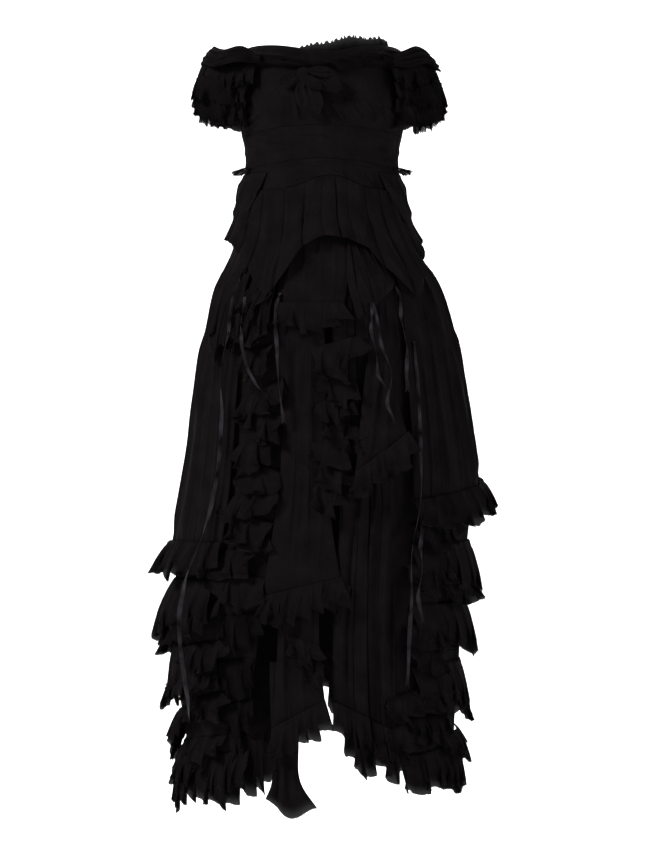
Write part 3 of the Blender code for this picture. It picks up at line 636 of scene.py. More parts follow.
# Neckline: a bias fold of silk drapes all round the top edge, smooth over the left cup and bunched over
# the right one, in front of a standing frill of fine knife pleats with a raw top edge.
DRAPE = np.array([
    # angle, height of its middle, half width, bulge
    (-179.8, 158, 13, 6), (-110, 166, 16, 9), (-70, 174, 18, 14), (-36, 173, 18, 15), (-8, 165, 17, 14),
    (5, 162, 17, 13), (30, 171, 18, 15), (70, 174, 18, 14), (110, 166, 16, 9), (179.8, 158, 13, 6),
], float)
DRAPE_CREASES = [
    (-66, 180, -22, 168, 2.0, 2.4), (-74, 170, -40, 164, 1.8, 2.6), (-58, 166, -16, 154, 1.8, 2.2),
    (-40, 176, -10, 160, 1.6, 2.0), (-90, 178, -60, 182, 2.2, 2.0), (-30, 162, -6, 148, 1.6, 2.4),
    (-14, 168, -2, 142, 1.8, 2.6), (2, 160, 14, 144, 1.8, 3.0), (8, 166, 26, 152, 1.8, 3.2),
    (18, 172, 40, 158, 1.7, 3.0), (30, 160, 52, 164, 1.8, 3.0), (36, 176, 66, 168, 1.8, 2.6),
    (50, 184, 76, 176, 2.0, 2.4), (60, 162, 90, 166, 2.0, 2.4), (24, 178, 34, 150, 1.6, 2.2),
    (44, 180, 50, 152, 1.6, 2.2), (-110, 172, -150, 160, 2.4, 1.8), (-100, 160, -140, 168, 2.2, 1.6),
    (104, 172, 150, 162, 2.4, 1.8), (98, 160, 140, 168, 2.2, 1.6), (150, 164, 178, 156, 2.2, 1.5),
    (-178, 154, -152, 162, 2.2, 1.5),
]
# A darker copy of the same silk with frayed hems, for the neck frill, the arm frills and the inner ruffles:
# its lower tone is painted shade of their deep pleats.
frill_painted_shade_silk = silk("silk_frill_painted_shade", sheer=0.86, frayed=0.006, glow=0.0026)
# A darker copy of the same silk for the neck drape and the shoulder drapes: its lower tone is painted shade
# of their folds.
drape_painted_shade_silk = silk("silk_drape_painted_shade", glow=0.003)
u, v = mesh_grid(300, 24)
angle = -179.8 + 359.6 * u
middle, half, bulge = (smooth(DRAPE[:, 0], DRAPE[:, k], angle) for k in (1, 2, 3))
height = middle + half * (1 - 2 * v)
bunched = np.exp(-((angle - 34) / 30) ** 2)
lift = bust(angle, height) + OVER + bulge * np.sin(np.pi * v) ** 0.8
lift = lift + creases(angle, height, DRAPE_CREASES, sharp=3.0) * np.sin(np.pi * v) ** 0.5
lift = lift + crumple(angle, height, 10.0, 0.8)
lift = lift + bunched * 1.8 * pleats(6.5 * v + 0.06 * angle + 0.5 * np.sin(angle * 0.3)) * np.sin(np.pi * v)
# The drape's silk is the darker copy, its tone lowered as painted shade.
lay("neck_drape", angle, height, lift, drape_painted_shade_silk)

FRILL_PLEATS = 10
u, v = mesh_grid(FRILL_PLEATS * 4 * 7, 14)
v = 1 - v
angle = -22 + 94 * u
turn = FRILL_PLEATS * u
fine = pleats(turn * 2.7 + 0.35 * np.sin(9 * u + 1))
bodice_top = 166 - 14 * bump((angle + SIDE_SEAM) / (2 * SIDE_SEAM))
standing = 50 * (0.35 + 0.65 * np.sin(np.pi * u) ** 0.5) * (1 + 0.05 * np.sin(17 * u))
height = bodice_top + 0.3 + standing * v
lift = -v * (2 + 7 * (0.5 + 0.5 * np.sin(2 * np.pi * turn))) - (0.6 + 2.4 * v) * fine
chance = np.random.default_rng(5)
height[0] += 3.4 * (chance.random(height.shape[1]) - 0.3) + 8.0 * fine[0] - 6.0
# The frill's silk is the darker copy, its tone lowered as painted shade.
lay("neck_frill", angle + 0.6 * v * np.cos(2 * np.pi * turn), height, lift + 1.0, frill_painted_shade_silk,
    free="top")
frill_top = on_form(*laid["neck_frill"][:, :3, :])
fray(frill_top[0], frill_top[2], chance, 0.3)


# Bow at the middle of the neckline: a knot of the same silk, wrapped and creased round, with one loop
# end lying to the right along the drape and a pointed one hanging over the middle of the bodice.
KNOT_PLACE = on_form(-12.0, 140.0, 17.0 + INSIDE)
KNOT_HALF_LENGTH, KNOT_HALF_DEPTH, KNOT_HALF_HEIGHT = 11.6, 6.7, 10.6
long_way, round_way = np.linspace(0, np.pi, 49)[:, None], np.linspace(0, 2 * np.pi, 65)[None, :]
wrap = 1 + 0.07 * pleats(3.0 * round_way / (2 * np.pi) * 2 + 0.6 * np.cos(long_way)) * np.sin(long_way)
knot = np.stack(np.broadcast_arrays(
    -KNOT_HALF_LENGTH * np.cos(long_way),
    -KNOT_HALF_DEPTH * np.sin(long_way) * np.cos(round_way) * wrap,
    KNOT_HALF_HEIGHT * np.sin(long_way) * np.sin(round_way) * wrap * (1 + 0.12 * np.cos(2 * long_way)),
), axis=-1)
swing = math.radians(-12)
turned = np.stack([
    knot[..., 0] * math.cos(swing) - knot[..., 1] * math.sin(swing),
    knot[..., 0] * math.sin(swing) + knot[..., 1] * math.cos(swing), knot[..., 2]], axis=-1) + KNOT_PLACE
knot_piece, knot_faces = grid_mesh("cloth_bow_knot", turned)
weld = knot_piece.modifiers.new("closed", "WELD")
weld.merge_threshold = 0.00001
run, fall = lengths_along(*measure(turned)[:2])
second, first = np.meshgrid(fall, run, indexing="ij")
lay_out(knot_piece, knot_faces, first, second)
knot_piece.data.materials.append(plain_silk)
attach(knot_piece, "gown")
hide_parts("bow_knot")

NECK_RADIUS = 100
NARROW, EDGE_CURL = 0.22, 5.0   # a loop end's width at its tips, as a share, and the rise of its edges


def leaf(name, start, end, half_width, lifts, table=(), node=True):
    """A loop end that is narrow at both ends and wide in the middle, with its edges curled forward."""
    t = np.linspace(0, 1, 41)[:, None]
    e = np.linspace(-1, 1, 31)[None, :]
    (a0, h0), (a1, h1) = start, end
    along = np.array([np.radians(a1 - a0) * NECK_RADIUS, h1 - h0])
    along /= np.linalg.norm(along)
    width = half_width * (NARROW + (1 - NARROW) * np.sin(np.pi * t) ** 0.8) * e
    angle = a0 + (a1 - a0) * t - np.degrees(width * along[1] / NECK_RADIUS)
    height = h0 + (h1 - h0) * t + width * along[0]
    lift = lifts[0] + (lifts[1] - lifts[0]) * t + EDGE_CURL * e ** 2 * np.sin(np.pi * t)
    lift = lift + 1.6 * pleats(2.6 * e + 0.4 * t + 0.2) * np.exp(-(t / 0.35) ** 2)
    lift = lift + crumple(angle, height, half_width, 0.6) + creases(angle, height, table)
    lay(name, angle, height, lift, hem_silk, node=node)


leaf("bow_leaf_upper", (-6.3, 139), (12, 110), 13, (16, 21), table=[
    (-4, 138, 10, 116, 2.2, 2.6), (0, 142, 14, 112, 2.0, 1.8), (-6, 132, 6, 112, 2.0, 1.8)])
leaf("bow_leaf_lower", (-12.5, 128.3), (-4, 68), 15, (16.2, 14), table=[
    (-12, 126, -9, 82, 3.0, 2.8), (-16, 116, -14, 88, 2.2, 1.8), (-8, 118, -3, 84, 2.4, 1.6)])
leaf("bow_leaf_small", (-9, 145), (9, 138), 9, (19.5, 22), node=False, table=[(-8, 144, 6, 140, 1.8, 1.6)])
leaf("bow_leaf_left", (-15, 142), (-27, 122), 8, (17, 20), node=False, table=[(-16, 141, -25, 126, 1.6, 1.8)])
leaf("bow_leaf_front", (-13, 136), (0, 112), 8, (22.5, 25), node=False, table=[(-12, 134, -3, 116, 1.6, 1.6)])


# Off-shoulder ruffles: each is a strip of silk that loops round the arm and hangs in deep flutes, under a
# draped band that comes out of the neckline. Four gathered strips are sewn round it and three short ones
# at its front end, with their raw edges standing out.
ARM_REACH = {
    # height on the outer side, reach beyond the bodice, top to hem
    "left": [(188, 50), (168, 65), (140, 71), (116, 64), (92, 57), (66, 45)],
    "right": [(184, 44), (160, 54), (134, 60), (112, 60), (90, 49), (72, 36)],
}
BAND_FROM, BAND_TO, BAND_TAPER = 42, 140, 9
BAND_HEIGHT, BAND_HALF_WIDTH = 168, 15
for side, name in ((-1, "left"), (1, "right")):
    rows = np.array(ARM_REACH[name], float)
    u, v = mesh_grid(6 * 3 * 8, 26)
    knots = np.linspace(0, 1, len(rows))
    outer, reach = smooth(knots, rows[:, 0], v), smooth(knots, rows[:, 1], v)
    arc = np.sin(np.pi * u)
    angle = rightwards((61 + 58 * u) * side)
    share = (rows[0, 0] - outer) / (rows[0, 0] - rows[-1, 0])
    ends = 146 - 88 * share
    height = ends + (outer - ends) * arc
    wave = 9 * (0.5 + 0.5 * np.sin(2 * np.pi * 6 * u)) * arc
    fine = pleats(18 * u + 0.4 * np.sin(8 * u) + 0.25 * v)
    lift = bust(angle, height) + OVER + (reach - 9) * arc ** 0.5 + wave + (1 + 3.2 * v) * fine * arc ** 0.5
    height = height + 3.0 * arc * np.sin(2 * np.pi * 6 * u + 1) * v
    height[-1] += 5 * (np.random.default_rng(side + 3).random(height.shape[1]) - 0.4)
    lay(f"arm_ruffle_{name}", angle, height, lift + crumple(angle, height, 11.0 + side, 0.8), hem_silk)
    grid = laid[f"arm_ruffle_{name}"]
    for step, (part, at, first, drop, flare, depth) in enumerate((
            ("top", 0.14, 8, 40, 4, 8), ("middle", 0.4, 4, 38, 4, 9),
            ("low", 0.66, 12, 34, 3, 8), ("under", 0.84, 22, 24, 2, 7))):
        row = int(at * (grid.shape[1] - 1))
        heading = grid[:, row, first:-first].copy()
        heading[2] = np.convolve(np.pad(heading[2], 4, mode="edge"), np.ones(9) / 9, "valid") - 1.0
        heading[1] += 5 * np.sin(np.linspace(0, 7, heading.shape[1]) + 2 * step)
        # Most arm frills take the darker silk copy, whose lower tone is painted shade.
        flounce(f"arm_frill_{name}_{part}", heading, drop, 5, depth, flare, rise=5, gathers=5,
                phase=step * 1.3, node=False, per=6, rows=10, curl=0.35, jag=6.5,
                finish=sheer_silk if part == "under" else frill_painted_shade_silk)

    for number, (first, first_height, last, last_height, drop) in enumerate((
            (50, 160, 70, 150, 40), (54, 128, 72, 118, 38), (56, 100, 72, 90, 36))):
        share = np.linspace(0, 1, 31)
        heading = np.array([
            first + (last - first) * share, first_height + (last_height - first_height) * share,
            8 + 26 * share ** 0.8 + 2 * np.sin(9 * share + number)])
        heading[0] *= side
        heading = heading[:, ::side]
        flounce(f"arm_fan_{name}_{number}", heading, drop, 3, 8, 5, rise=4, gathers=4,
                phase=number * 1.7, node=False, per=6, rows=10, curl=0.8, jag=8.0)

    u, v = mesh_grid(130, 20)
    angle = rightwards((BAND_FROM + (BAND_TO - BAND_FROM) * u) * side)
    round_arm = np.clip((np.abs(angle) - 50) / 80, 0, 1)
    out_there = np.sin(np.pi * round_arm) ** 0.5
    taper = 1 - 0.75 * np.exp(-((np.abs(angle) - BAND_FROM) / BAND_TAPER) ** 2)
    taper = taper - 0.75 * np.exp(-((np.abs(angle) - BAND_TO) / BAND_TAPER) ** 2)
    height = BAND_HEIGHT + (rows[0, 0] - 10 - BAND_HEIGHT) * out_there
    height = height + BAND_HALF_WIDTH * taper * (1 - 2 * v)
    height = height + 4.5 * np.sin(angle * 0.19 + side) * taper
    near = bust(angle, height) + OVER + 15 + 4 * np.sin(np.pi * v)
    lift = near + (rows[0, 1] - 5 + 15 * v - 12) * out_there
    lift = lift + 3.4 * pleats(3.2 * v + 0.5 * np.sin(angle * 0.07) + 0.25) * taper
    lift = lift + 3.6 * grooves(4 * v + 0.5 * np.sin(angle * 0.11 + 1) + 0.3, 0.3)
    lift = lift + crumple(angle, height, 31.0 + side, 0.9)
    # The band's silk is the darker copy, its tone lowered as painted shade.
    lay(f"shoulder_drape_{name}", angle, height, lift, drape_painted_shade_silk,
        node=False)


# Skirt foundation: long panels of silk that hang from the hip yoke, open at the middle of the front and
# split at the back, in soft uneven folds.
TOP = -141.2
SIDE_FOLDS = [
    (38, -150, 42, -930, 7, 2.5), (50, -220, 54, -900, 8, 3.5), (64, -150, 70, -640, 6, 2.6),
    (76, -330, 82, -960, 9, 4.0), (92, -150, 95, -760, 7, 3.2), (106, -260, 104, -940, 8, 3.0),
    (120, -150, 122, -680, 7, 3.4), (128, -420, 126, -960, 8, 3.0), (58, -560, 66, -980, 6, 2.6),
    (84, -180, 80, -420, 6, 2.2),
]
panel("under_left",
      [(-134.7, TOP, -20.5, TOP, 0), (-134.7, -430, -19.5, -430, 0), (-134.7, -700, -21, -710, 0),
       (-134.7, -960, -34, -985, 0)],
      (0, 4), 80, 44, 2, 5, to_side(-1, SIDE_FOLDS), 12.0, 0.6)
panel("under_right", [(22, TOP, 134.7, TOP, 0), (26, -500, 134.7, -500, 0), (35, -985, 134.7, -960, 0)],
      (0, 4), 80, 44, 2, 5, SIDE_FOLDS, 13.0, 0.6)
BACK_FOLDS = [
    (141, -160, 142, -930, 8, 5.0), (150, -300, 149, -960, 7, 4.4), (157, -150, 155, -620, 7, 4.0),
    (164, -260, 161, -940, 9, 6.0), (171, -150, 169, -560, 6, 3.6), (175, -380, 172, -900, 7, 4.0),
    (146, -520, 146, -960, 6, 3.0), (178, -150, 178, -420, 5, 3.0),
]
panel("back_left",
      [(-BACK_EDGE, TOP, -135.3, TOP, 0), (-BACK_EDGE, -500, -135.3, -500, 0),
       (-BACK_EDGE, -850, -135.3, -995, -40)],
      (0, 4), 60, 50, 2, 6, to_side(-1, BACK_FOLDS), 14.0, 0.6)
panel("back_right",
      [(135.3, TOP, BACK_EDGE, TOP, 0), (135.3, -500, BACK_EDGE, -500, 0),
       (135.3, -995, BACK_EDGE, -850, -40)],
      (0, 4), 60, 50, 2, 6, BACK_FOLDS, 15.0, 0.6)
u, v = mesh_grid(8, 120)
height = 158 - 1004 * v
lift = np.clip((-200 - height) / 650, 0, 1) ** 0.8 * 5.0 - 1.6 + crumple(180 * u, height, 30.0, 0.2)
lay("back_seam_facing", 180 + (u - 0.5) * 15, height, lift, plain_silk, node=False)
panel("panel_centre",
      [(-20, TOP, -3, TOP, 0), (-20.5, -400, -1.5, -400, 0), (-20.5, -560, 0, -555, 0),
       (-21, -722, 8, -690, 0)],
      (0, 14), 60, 60, 2, 3, [
          (-14, -280, -15, -640, 5, 1.6), (-9, -300, -8, -700, 6, 2.2), (-4, -420, -1, -690, 5, 2.0),
          (-12, -500, -11, -710, 4, 1.6)],
      16.0, 0.9, tucks=3, tuck=2.0)


# Hip tiers under the peplum: a silk apron that hangs from the yoke with a gathered strip along its hem,
# and a scarf that crosses the right hip in loose folds.
panel("apron", [(-27, -100, 14, -100, 0), (-26, -180, 12, -180, 0), (-25, -245, 7, -246, 0)],
      (OVER, 8), 70, 36, 1, 1.5, [
          (-20, -150, -22, -236, 5, 2.0), (-12, -140, -12, -240, 5, 1.6), (-3, -130, -4, -240, 6, 2.4),
          (6, -130, 2, -238, 5, 2.0),
          (-25, -200, -8, -214, 4, 1.2)], 17.0, 0.5)
flounce("apron_edge", hem_of("apron"), 44, 5, 10, 8, 1.08, over=1.9, gathers=2, curl=0.7, jag=4.5,
        short_ends=0.45)
panel("hip_scarf",
      [(14.5, -118, 30, -118, 0), (12, -160, 31, -160, 0), (10, -205, 36, -196, 0),
       (13, -266, 33, -214, 0)],
      (OVER, 16), 50, 44, 1, 2, [
          (14, -130, 13, -210, 3.5, 3.0), (18, -134, 24, -226, 4, 3.0), (23, -140, 31, -206, 3.5, 2.6),
          (15, -170, 21, -244, 3.5, 2.4),
          (27, -150, 30, -196, 3, 2.0)], 18.0, 1.4, tucks=5, tuck=5.0)


# Outer panels of silk with gathered hems: a broad one at each side and a narrow one at the right front.
# Two short ruffles hang at the left hip, from the broad panel and from the foundation beside it.
panel("panel_left", [(-112, -131, -44, -131, 0), (-112, -330, -44, -330, 0), (-110, -640, -42, -636, 0)],
      (OVER + 0.4, 17), 150, 50, 4, 5, [
          (-108, -180, -108, -630, 6, 4.0), (-97, -150, -99, -520, 7, 4.0),
          (-88, -260, -86, -640, 8, 5.0), (-77, -150, -76, -430, 6, 3.6), (-70, -330, -68, -640, 7, 5.0),
          (-60, -180, -59, -600, 5, 3.6), (-53, -330, -50, -640, 5, 3.4), (-82, -420, -79, -640, 5, 3.0),
          (-47, -240, -46, -560, 4, 2.6)], 19.0, 1.0, tucks=9, tuck=3.5)
flounce("hem_left", hem_of("panel_left"), 52, 8, 17, 12)
flounce("hip_ruffle_outer", line_on("panel_left", -61, -196, -44.5, -196), 140, 3, 13, 12, phase=1,
        gathers=2, rows=18)
flounce("hip_ruffle_inner", line_on("under_left", -42, -190, -26.5, -194), 116, 3, 11, 19, phase=2,
        gathers=2, rows=18)
panel("panel_right", [(40, -131, 112, -131, 0), (36, -330, 112, -330, 0), (33, -566, 108, -528, 0)],
      (OVER + 0.4, 19), 160, 46, 4, 6, [
          (108, -170, 106, -520, 6, 4.0), (98, -150, 99, -420, 7, 4.0), (89, -250, 88, -540, 8, 5.4),
          (78, -150, 80, -380, 6, 3.6), (71, -300, 73, -545, 7, 5.0), (60, -160, 62, -550, 5, 6.0),
          (52, -260, 52, -555, 6, 4.0), (45, -180, 42, -560, 5, 4.4),
          (40, -330, 37, -560, 4, 3.0), (66, -420, 68, -550, 5, 3.0)], 20.0, 1.0, tucks=11, tuck=4.5)
flounce("hem_right", hem_of("panel_right"), 50, 10, 19, 16)
panel("panel_front_right", [(24, -205, 38, -205, 0), (14, -381, 29, -381, 0), (9, -520, 31, -455, 0)],
      (1.7, 30), 50, 40, 2, 4, [
          (26, -230, 14, -500, 4, 3.0), (30, -220, 20, -495, 4.5, 3.4), (35, -230, 27, -460, 4, 3.0),
          (24, -330, 13, -470, 3.5, 2.2)],
      21.0, 0.6)
flounce("hem_front_right", hem_of("panel_front_right"), 46, 5, 15, 12, 1.15, over=1.8, gathers=2,
        curl=0.75, jag=5.0, short_ends=0.5)
flounce("hem_centre", hem_of("panel_centre"), 48, 7, 12, 8, 1.22, gathers=2)


# Cascades: short strips of silk, each gathered on its own slanting line, sewn one below another so that
# their raw edges fall over the next in curling lobes.
def cascade(name, carrier, rows, node=None, finish=None):
    """Strips one below another, all of them for one CAD node or for none.

    Each row is the line's left angle and height, its right ones, and the strip's drop, waves, depth
    and flare.
    """
    for number, (left, left_height, right, right_height, drop, waves, depth, flare) in enumerate(rows):
        heading = line_on(carrier, left, left_height, right, right_height)
        flounce(f"{name}_{number}", heading, drop, waves, depth, flare, rise=3,
                over=OVER + 0.5 * (number % 2), gathers=2, rows=10, curl=0.6, jag=4.5, phase=2.1 * number,
                short_ends=0.62, finish=finish, node=False, stands_for=node)


cascade("hip_cluster", "under_left", [
    (-44, -214, -30, -206, 60, 2, 14, 24), (-46, -268, -28, -258, 52, 3, 14, 25),
    (-43, -318, -26, -306, 56, 3, 14, 23)])
cascade("cascade_left", "under_left", [
    (-42, -400, -21, -362, 56, 3, 13, 16), (-37, -412, -20, -428, 52, 2, 13, 15),
    (-42, -474, -21, -446, 54, 3, 14, 15), (-38, -498, -21, -514, 50, 2, 13, 14),
    (-44, -560, -22, -532, 54, 3, 14, 16), (-42, -578, -21, -600, 54, 3, 14, 15),
    (-47, -652, -22, -620, 56, 3, 14, 16), (-44, -670, -21, -690, 62, 3, 15, 16)], "cascade_left")


# Lower front panels of silk: a long one at the right in deep folds, and two at the middle that hang from
# inside the opening, the last of them down to the lowest point of the gown.
panel("panel_lower_right",
      [(3, TOP, 21.5, TOP, 0), (0.5, -400, 26, -400, 0), (6, -650, 30, -650, 0), (6, -890, 35, -950, 0)],
      (0, 8), 110, 64, 3, 8, [
          (12, -420, 13, -900, 4.5, 4.0), (18, -300, 19, -930, 5, 5.0), (24, -480, 27, -940, 4.5, 4.4),
          (9, -560, 10, -880, 3.5, 2.4),
          (30, -660, 32, -945, 4, 3.4)], 22.0, 0.8, tucks=6, tuck=6.0)
cascade("cascade_centre", "panel_lower_right", [
    (-9, -316, 14, -294, 64, 2, 13, 18), (-5, -360, 12, -372, 44, 3, 12, 15),
    (-6, -406, 12, -384, 46, 3, 13, 15), (-4, -426, 11, -442, 42, 2, 13, 14),
    (-8, -470, 12, -450, 48, 3, 14, 15), (-7, -492, 12, -506, 48, 3, 13, 14),
    (-7, -540, 13, -518, 54, 3, 14, 15)], "cascade_centre")
flounce("hem_lower_right", hem_of("panel_lower_right"), 52, 7, 12, 10, 1.08)
panel("panel_lower_centre", [(-15, -600, 1, -600, 0), (-15, -780, 1, -780, 0), (-19, -935, 3, -888, 0)],
      (8.9, 10), 40, 40, 2, 3, [
          (-11, -640, -14, -920, 4, 2.4), (-5, -620, -6, -910, 5, 2.8),
          (-1, -700, 0, -890, 4, 2.0)], 23.0, 0.5)
cascade("cascade_low", "panel_lower_centre", [
    (-12, -776, 1, -796, 40, 2, 11, 12), (-8, -806, 3, -826, 40, 3, 11, 13)], "cascade_low")
flounce("hem_lower_centre", hem_of("panel_lower_centre"), 50, 5, 12, 10, 1.15, gathers=2)
panel("panel_lowest",
      [(-19, -820, -9, -820, 0), (-20, -940, -8.5, -940, 0), (-20, -1010, -8, -1010, 0),
       (-23, -1044, 0, -1058, -24)],
      (6.2, 8.8), 60, 56, 3, 3, [(-17, -900, -20, -1055, 3.5, 3.0), (-12, -860, -10, -1065, 4, 3.0),
      (-15, -980, -15, -1060, 3, 2.4)],
      24.0, 0.9, finish=hem_silk, tucks=4, tuck=3.0)


# Tiers: gathered strips sewn across the foundation one below another, each falling over the next.
for name, heading, drop, waves, depth, flare, carrier in (
    ("tier_left_upper", line_on("under_left", -118, -704, -44, -696), 92, 7, 18, 22, "under_left"),
    ("tier_left_middle", line_on("under_left", -116, -812, -42, -808), 84, 7, 14, 12, "under_left"),
    ("hem_left_low", hem_of("under_left"), 98, 11, 17, 13, "under_left"),
    ("tier_right_upper", line_on("under_right", 36, -640, 118, -636), 74, 7, 16, 18, "under_right"),
    ("tier_right_middle", line_on("under_right", 38, -738, 118, -734), 74, 7, 16, 18, "under_right"),
    ("tier_right_lower", line_on("under_right", 40, -838, 118, -834), 76, 7, 14, 14, "under_right"),
    ("hem_right_low", hem_of("under_right"), 72, 11, 17, 11, "under_right"),
    ("tier_back_left", line_on("back_left", -179, -690, -136, -790), 78, 6, 14, 12, "back_left"),
    ("tier_back_right", line_on("back_right", 136, -790, 179, -690), 78, 6, 14, 12, "back_right"),
    ("hem_back_left", hem_of("back_left"), 62, 6, 14, 12, "back_left"),
    ("hem_back_right", hem_of("back_right"), 62, 6, 14, 12, "back_right"),
):
    flounce(name, heading, drop, waves, depth, flare)
cascade("ruffle_left", "under_left", [
    (-62, -742, -40, -724, 52, 3, 14, 22), (-84, -770, -56, -752, 46, 4, 14, 22),
    (-112, -790, -82, -772, 48, 4, 16, 20), (-60, -800, -36, -790, 50, 4, 14, 24),
    (-74, -850, -44, -838, 50, 4, 14, 24), (-110, -866, -72, -850, 56, 5, 16, 22),
    (-58, -886, -38, -872, 46, 3, 12, 20), (-96, -918, -58, -902, 50, 5, 14, 20),
    (-70, -958, -42, -946, 44, 4, 12, 20), (-112, -944, -78, -934, 56, 5, 14, 20),
    (-52, -984, -30, -964, 76, 4, 14, 18),
    (-88, -972, -56, -984, 60, 4, 14, 20)])
cascade("ruffle_right", "under_right", [
    (34, -600, 58, -588, 50, 4, 14, 26), (34, -668, 56, -660, 50, 4, 14, 26),
    (54, -692, 92, -684, 48, 5, 14, 24), (36, -766, 62, -758, 48, 4, 14, 24),
    (70, -778, 112, -772, 50, 5, 14, 22), (36, -800, 58, -806, 46, 3, 13, 22),
    (40, -872, 72, -862, 50, 4, 14, 22), (74, -890, 112, -884, 52, 5, 14, 20),
    (38, -918, 64, -912, 50, 4, 14, 22),
    (60, -952, 104, -944, 50, 6, 14, 20)])
cascade("ruffle_hem", "panel_lower_right", [
    (9, -918, 24, -946, 74, 4, 13, 14), (22, -948, 37, -956, 66, 3, 13, 16)])
cascade("ruffle_low", "under_right", [
    (26, -880, 46, -872, 44, 3, 12, 22), (28, -930, 48, -920, 48, 3, 12, 22)])
# The inner ruffles take the darker silk copy, whose lower tone is painted shade.
cascade("ruffle_inner", "under_left", [
    (-40, -752, -22, -742, 62, 3, 12, 8), (-42, -826, -25, -816, 62, 3, 12, 8),
    (-42, -896, -27, -884, 64, 3, 12, 8),
    (-38, -936, -20, -956, 98, 4, 11, 4)], finish=frill_painted_shade_silk)
cascade("ruffle_middle", "panel_centre", [
    (-19, -716, -10, -726, 40, 2, 11, 10), (2, -690, 12, -700, 46, 2, 11, 8)])


# Ribbons: narrow double-faced satin that hangs free from under the peplum, turning a little on its way
# down, so that its shine comes and goes, with a painted sheen: its colour is lighter in patches along it.
satin = Finish("satin_ribbon")
uv = satin.node("ShaderNodeTexCoord", {}, {}, "UV")
floats = satin.node("ShaderNodeTexWave", {"bands_direction": "Y"}, {
    "Vector": uv, "Scale": 420.0, "Distortion": 0.6})
wear_and_painted_sheen = satin.node("ShaderNodeTexNoise", {}, {"Vector": uv, "Scale": 35.0, "Detail": 3.0})
# Base colour ten times lighter in patches along the ribbon is painted sheen; the same noise roughens and
# bumps the satin as wear.
satin.wear(
    Base_Color=satin.node("ShaderNodeValToRGB", {"stops": [
        (0.35, (0.0014, 0.0012, 0.0014, 1)), (0.7, (0.014, 0.0128, 0.015, 1))]}, {"Fac": wear_and_painted_sheen}),
    Roughness=0.3 + 0.3 * wear_and_painted_sheen, Specular_IOR_Level=0.012,
    Normal=satin.node("ShaderNodeBump", {}, {"Strength": 0.3, "Distance": 0.0004, "Height": floats + wear_and_painted_sheen}))


RIBBON_TWIST = 1.25      # how far a ribbon turns on its length, to both sides, in radians


def ribbon(name, route, width=6.5, turns=1.6, node=True):
    """A ribbon through rows of angle, height and lift, which turns one edge forward and back as it falls."""
    table = np.array(route, float)
    knots = np.linspace(0, 1, len(table))
    t = np.linspace(0, 1, 24 * len(table))[:, None]
    angle, height, lift = (smooth(knots, table[:, k], t) for k in range(3))
    e = np.linspace(-0.5, 0.5, 7)[None, :]
    turned = np.sin(2 * np.pi * turns * t + width + 0.8 * np.sin(5 * t))
    turned = RIBBON_TWIST * turned * np.clip(12 * t, 0, 1)
    notch = 5.0 * (1 - 2 * np.abs(e)) * np.exp(-((1 - t) / 0.02) ** 2)
    sway = 0.5 * np.sin(2 * np.pi * 1.3 * turns * t + 1)
    angle = angle + sway + e * np.degrees(width / 200) * np.cos(turned)
    lift = lift + 0.2 + width * (e * np.sin(turned) + 0.5 * np.abs(np.sin(turned)))
    sew(name, on_form(angle, height + notch, lift), satin.material, cloth=0.4, node=node)


ribbon("ribbon_left_long", [
    (-50, -165, 7.9), (-50, -200, 11.9), (-49, -260, 24), (-48, -335, 32), (-47, -430, 30),
    (-47, -540, 30), (-47, -620, 42), (-48, -690, 64), (-49, -800, 62), (-52, -920, 50)], turns=3.2)
ribbon("ribbon_centre", [
    (-24.5, -222, 10.0), (-24.3, -238, 15.5), (-23.5, -288, 29), (-21, -353, 26), (-19, -437, 26)])
ribbon("ribbon_right_short", [(36.5, -208, 7), (35, -285, 17), (34, -340, 22.5), (32, -385, 27.5)])
for name, route, width in (
    ("ribbon_left_inner", [(-40, -228, 34), (-38, -280, 40), (-36, -330, 38), (-31, -366, 33),
    (-26, -392, 27)], 5.5),
    ("ribbon_hip", [(20, -238, 22), (22, -300, 30), (24.5, -352, 33), (23, -400, 35),
    (24.5, -436, 36)], 5.5),
    ("ribbon_hip_loop", [(19.5, -238, 20.5), (18.5, -290, 27), (19.5, -346, 31), (22, -380, 34)], 5.5),
    ("ribbon_right_long", [(39.5, -300, 17), (38.5, -380, 22), (37, -470, 30), (33, -560, 44),
    (31, -640, 46),
                           (34, -730, 44), (34, -800, 40), (33.5, -860, 36)], 5.5),
    ("ribbon_right_low", [(34, -590, 44), (36, -640, 42), (36.5, -700, 42), (38.5, -760, 42)], 5.5),
):
    ribbon(name, route, width, node=False)


# Loose ends and stitches: single threads stand out of the raw hems, and a line of short stitches holds
# each gathered strip and each seam of the bodice.
def joined(name, blocks, corners, finish):
    """Many small closed shapes as one mesh, from a block of points for each and the triangles of one."""
    count, size = blocks.shape[:2]
    faces = (np.array(corners)[None] + size * np.arange(count)[:, None, None]).reshape(-1, 3)
    piece = mesh_piece(name, blocks.reshape(-1, 3), faces)
    piece.data.materials.append(finish)
    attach(piece, "gown")


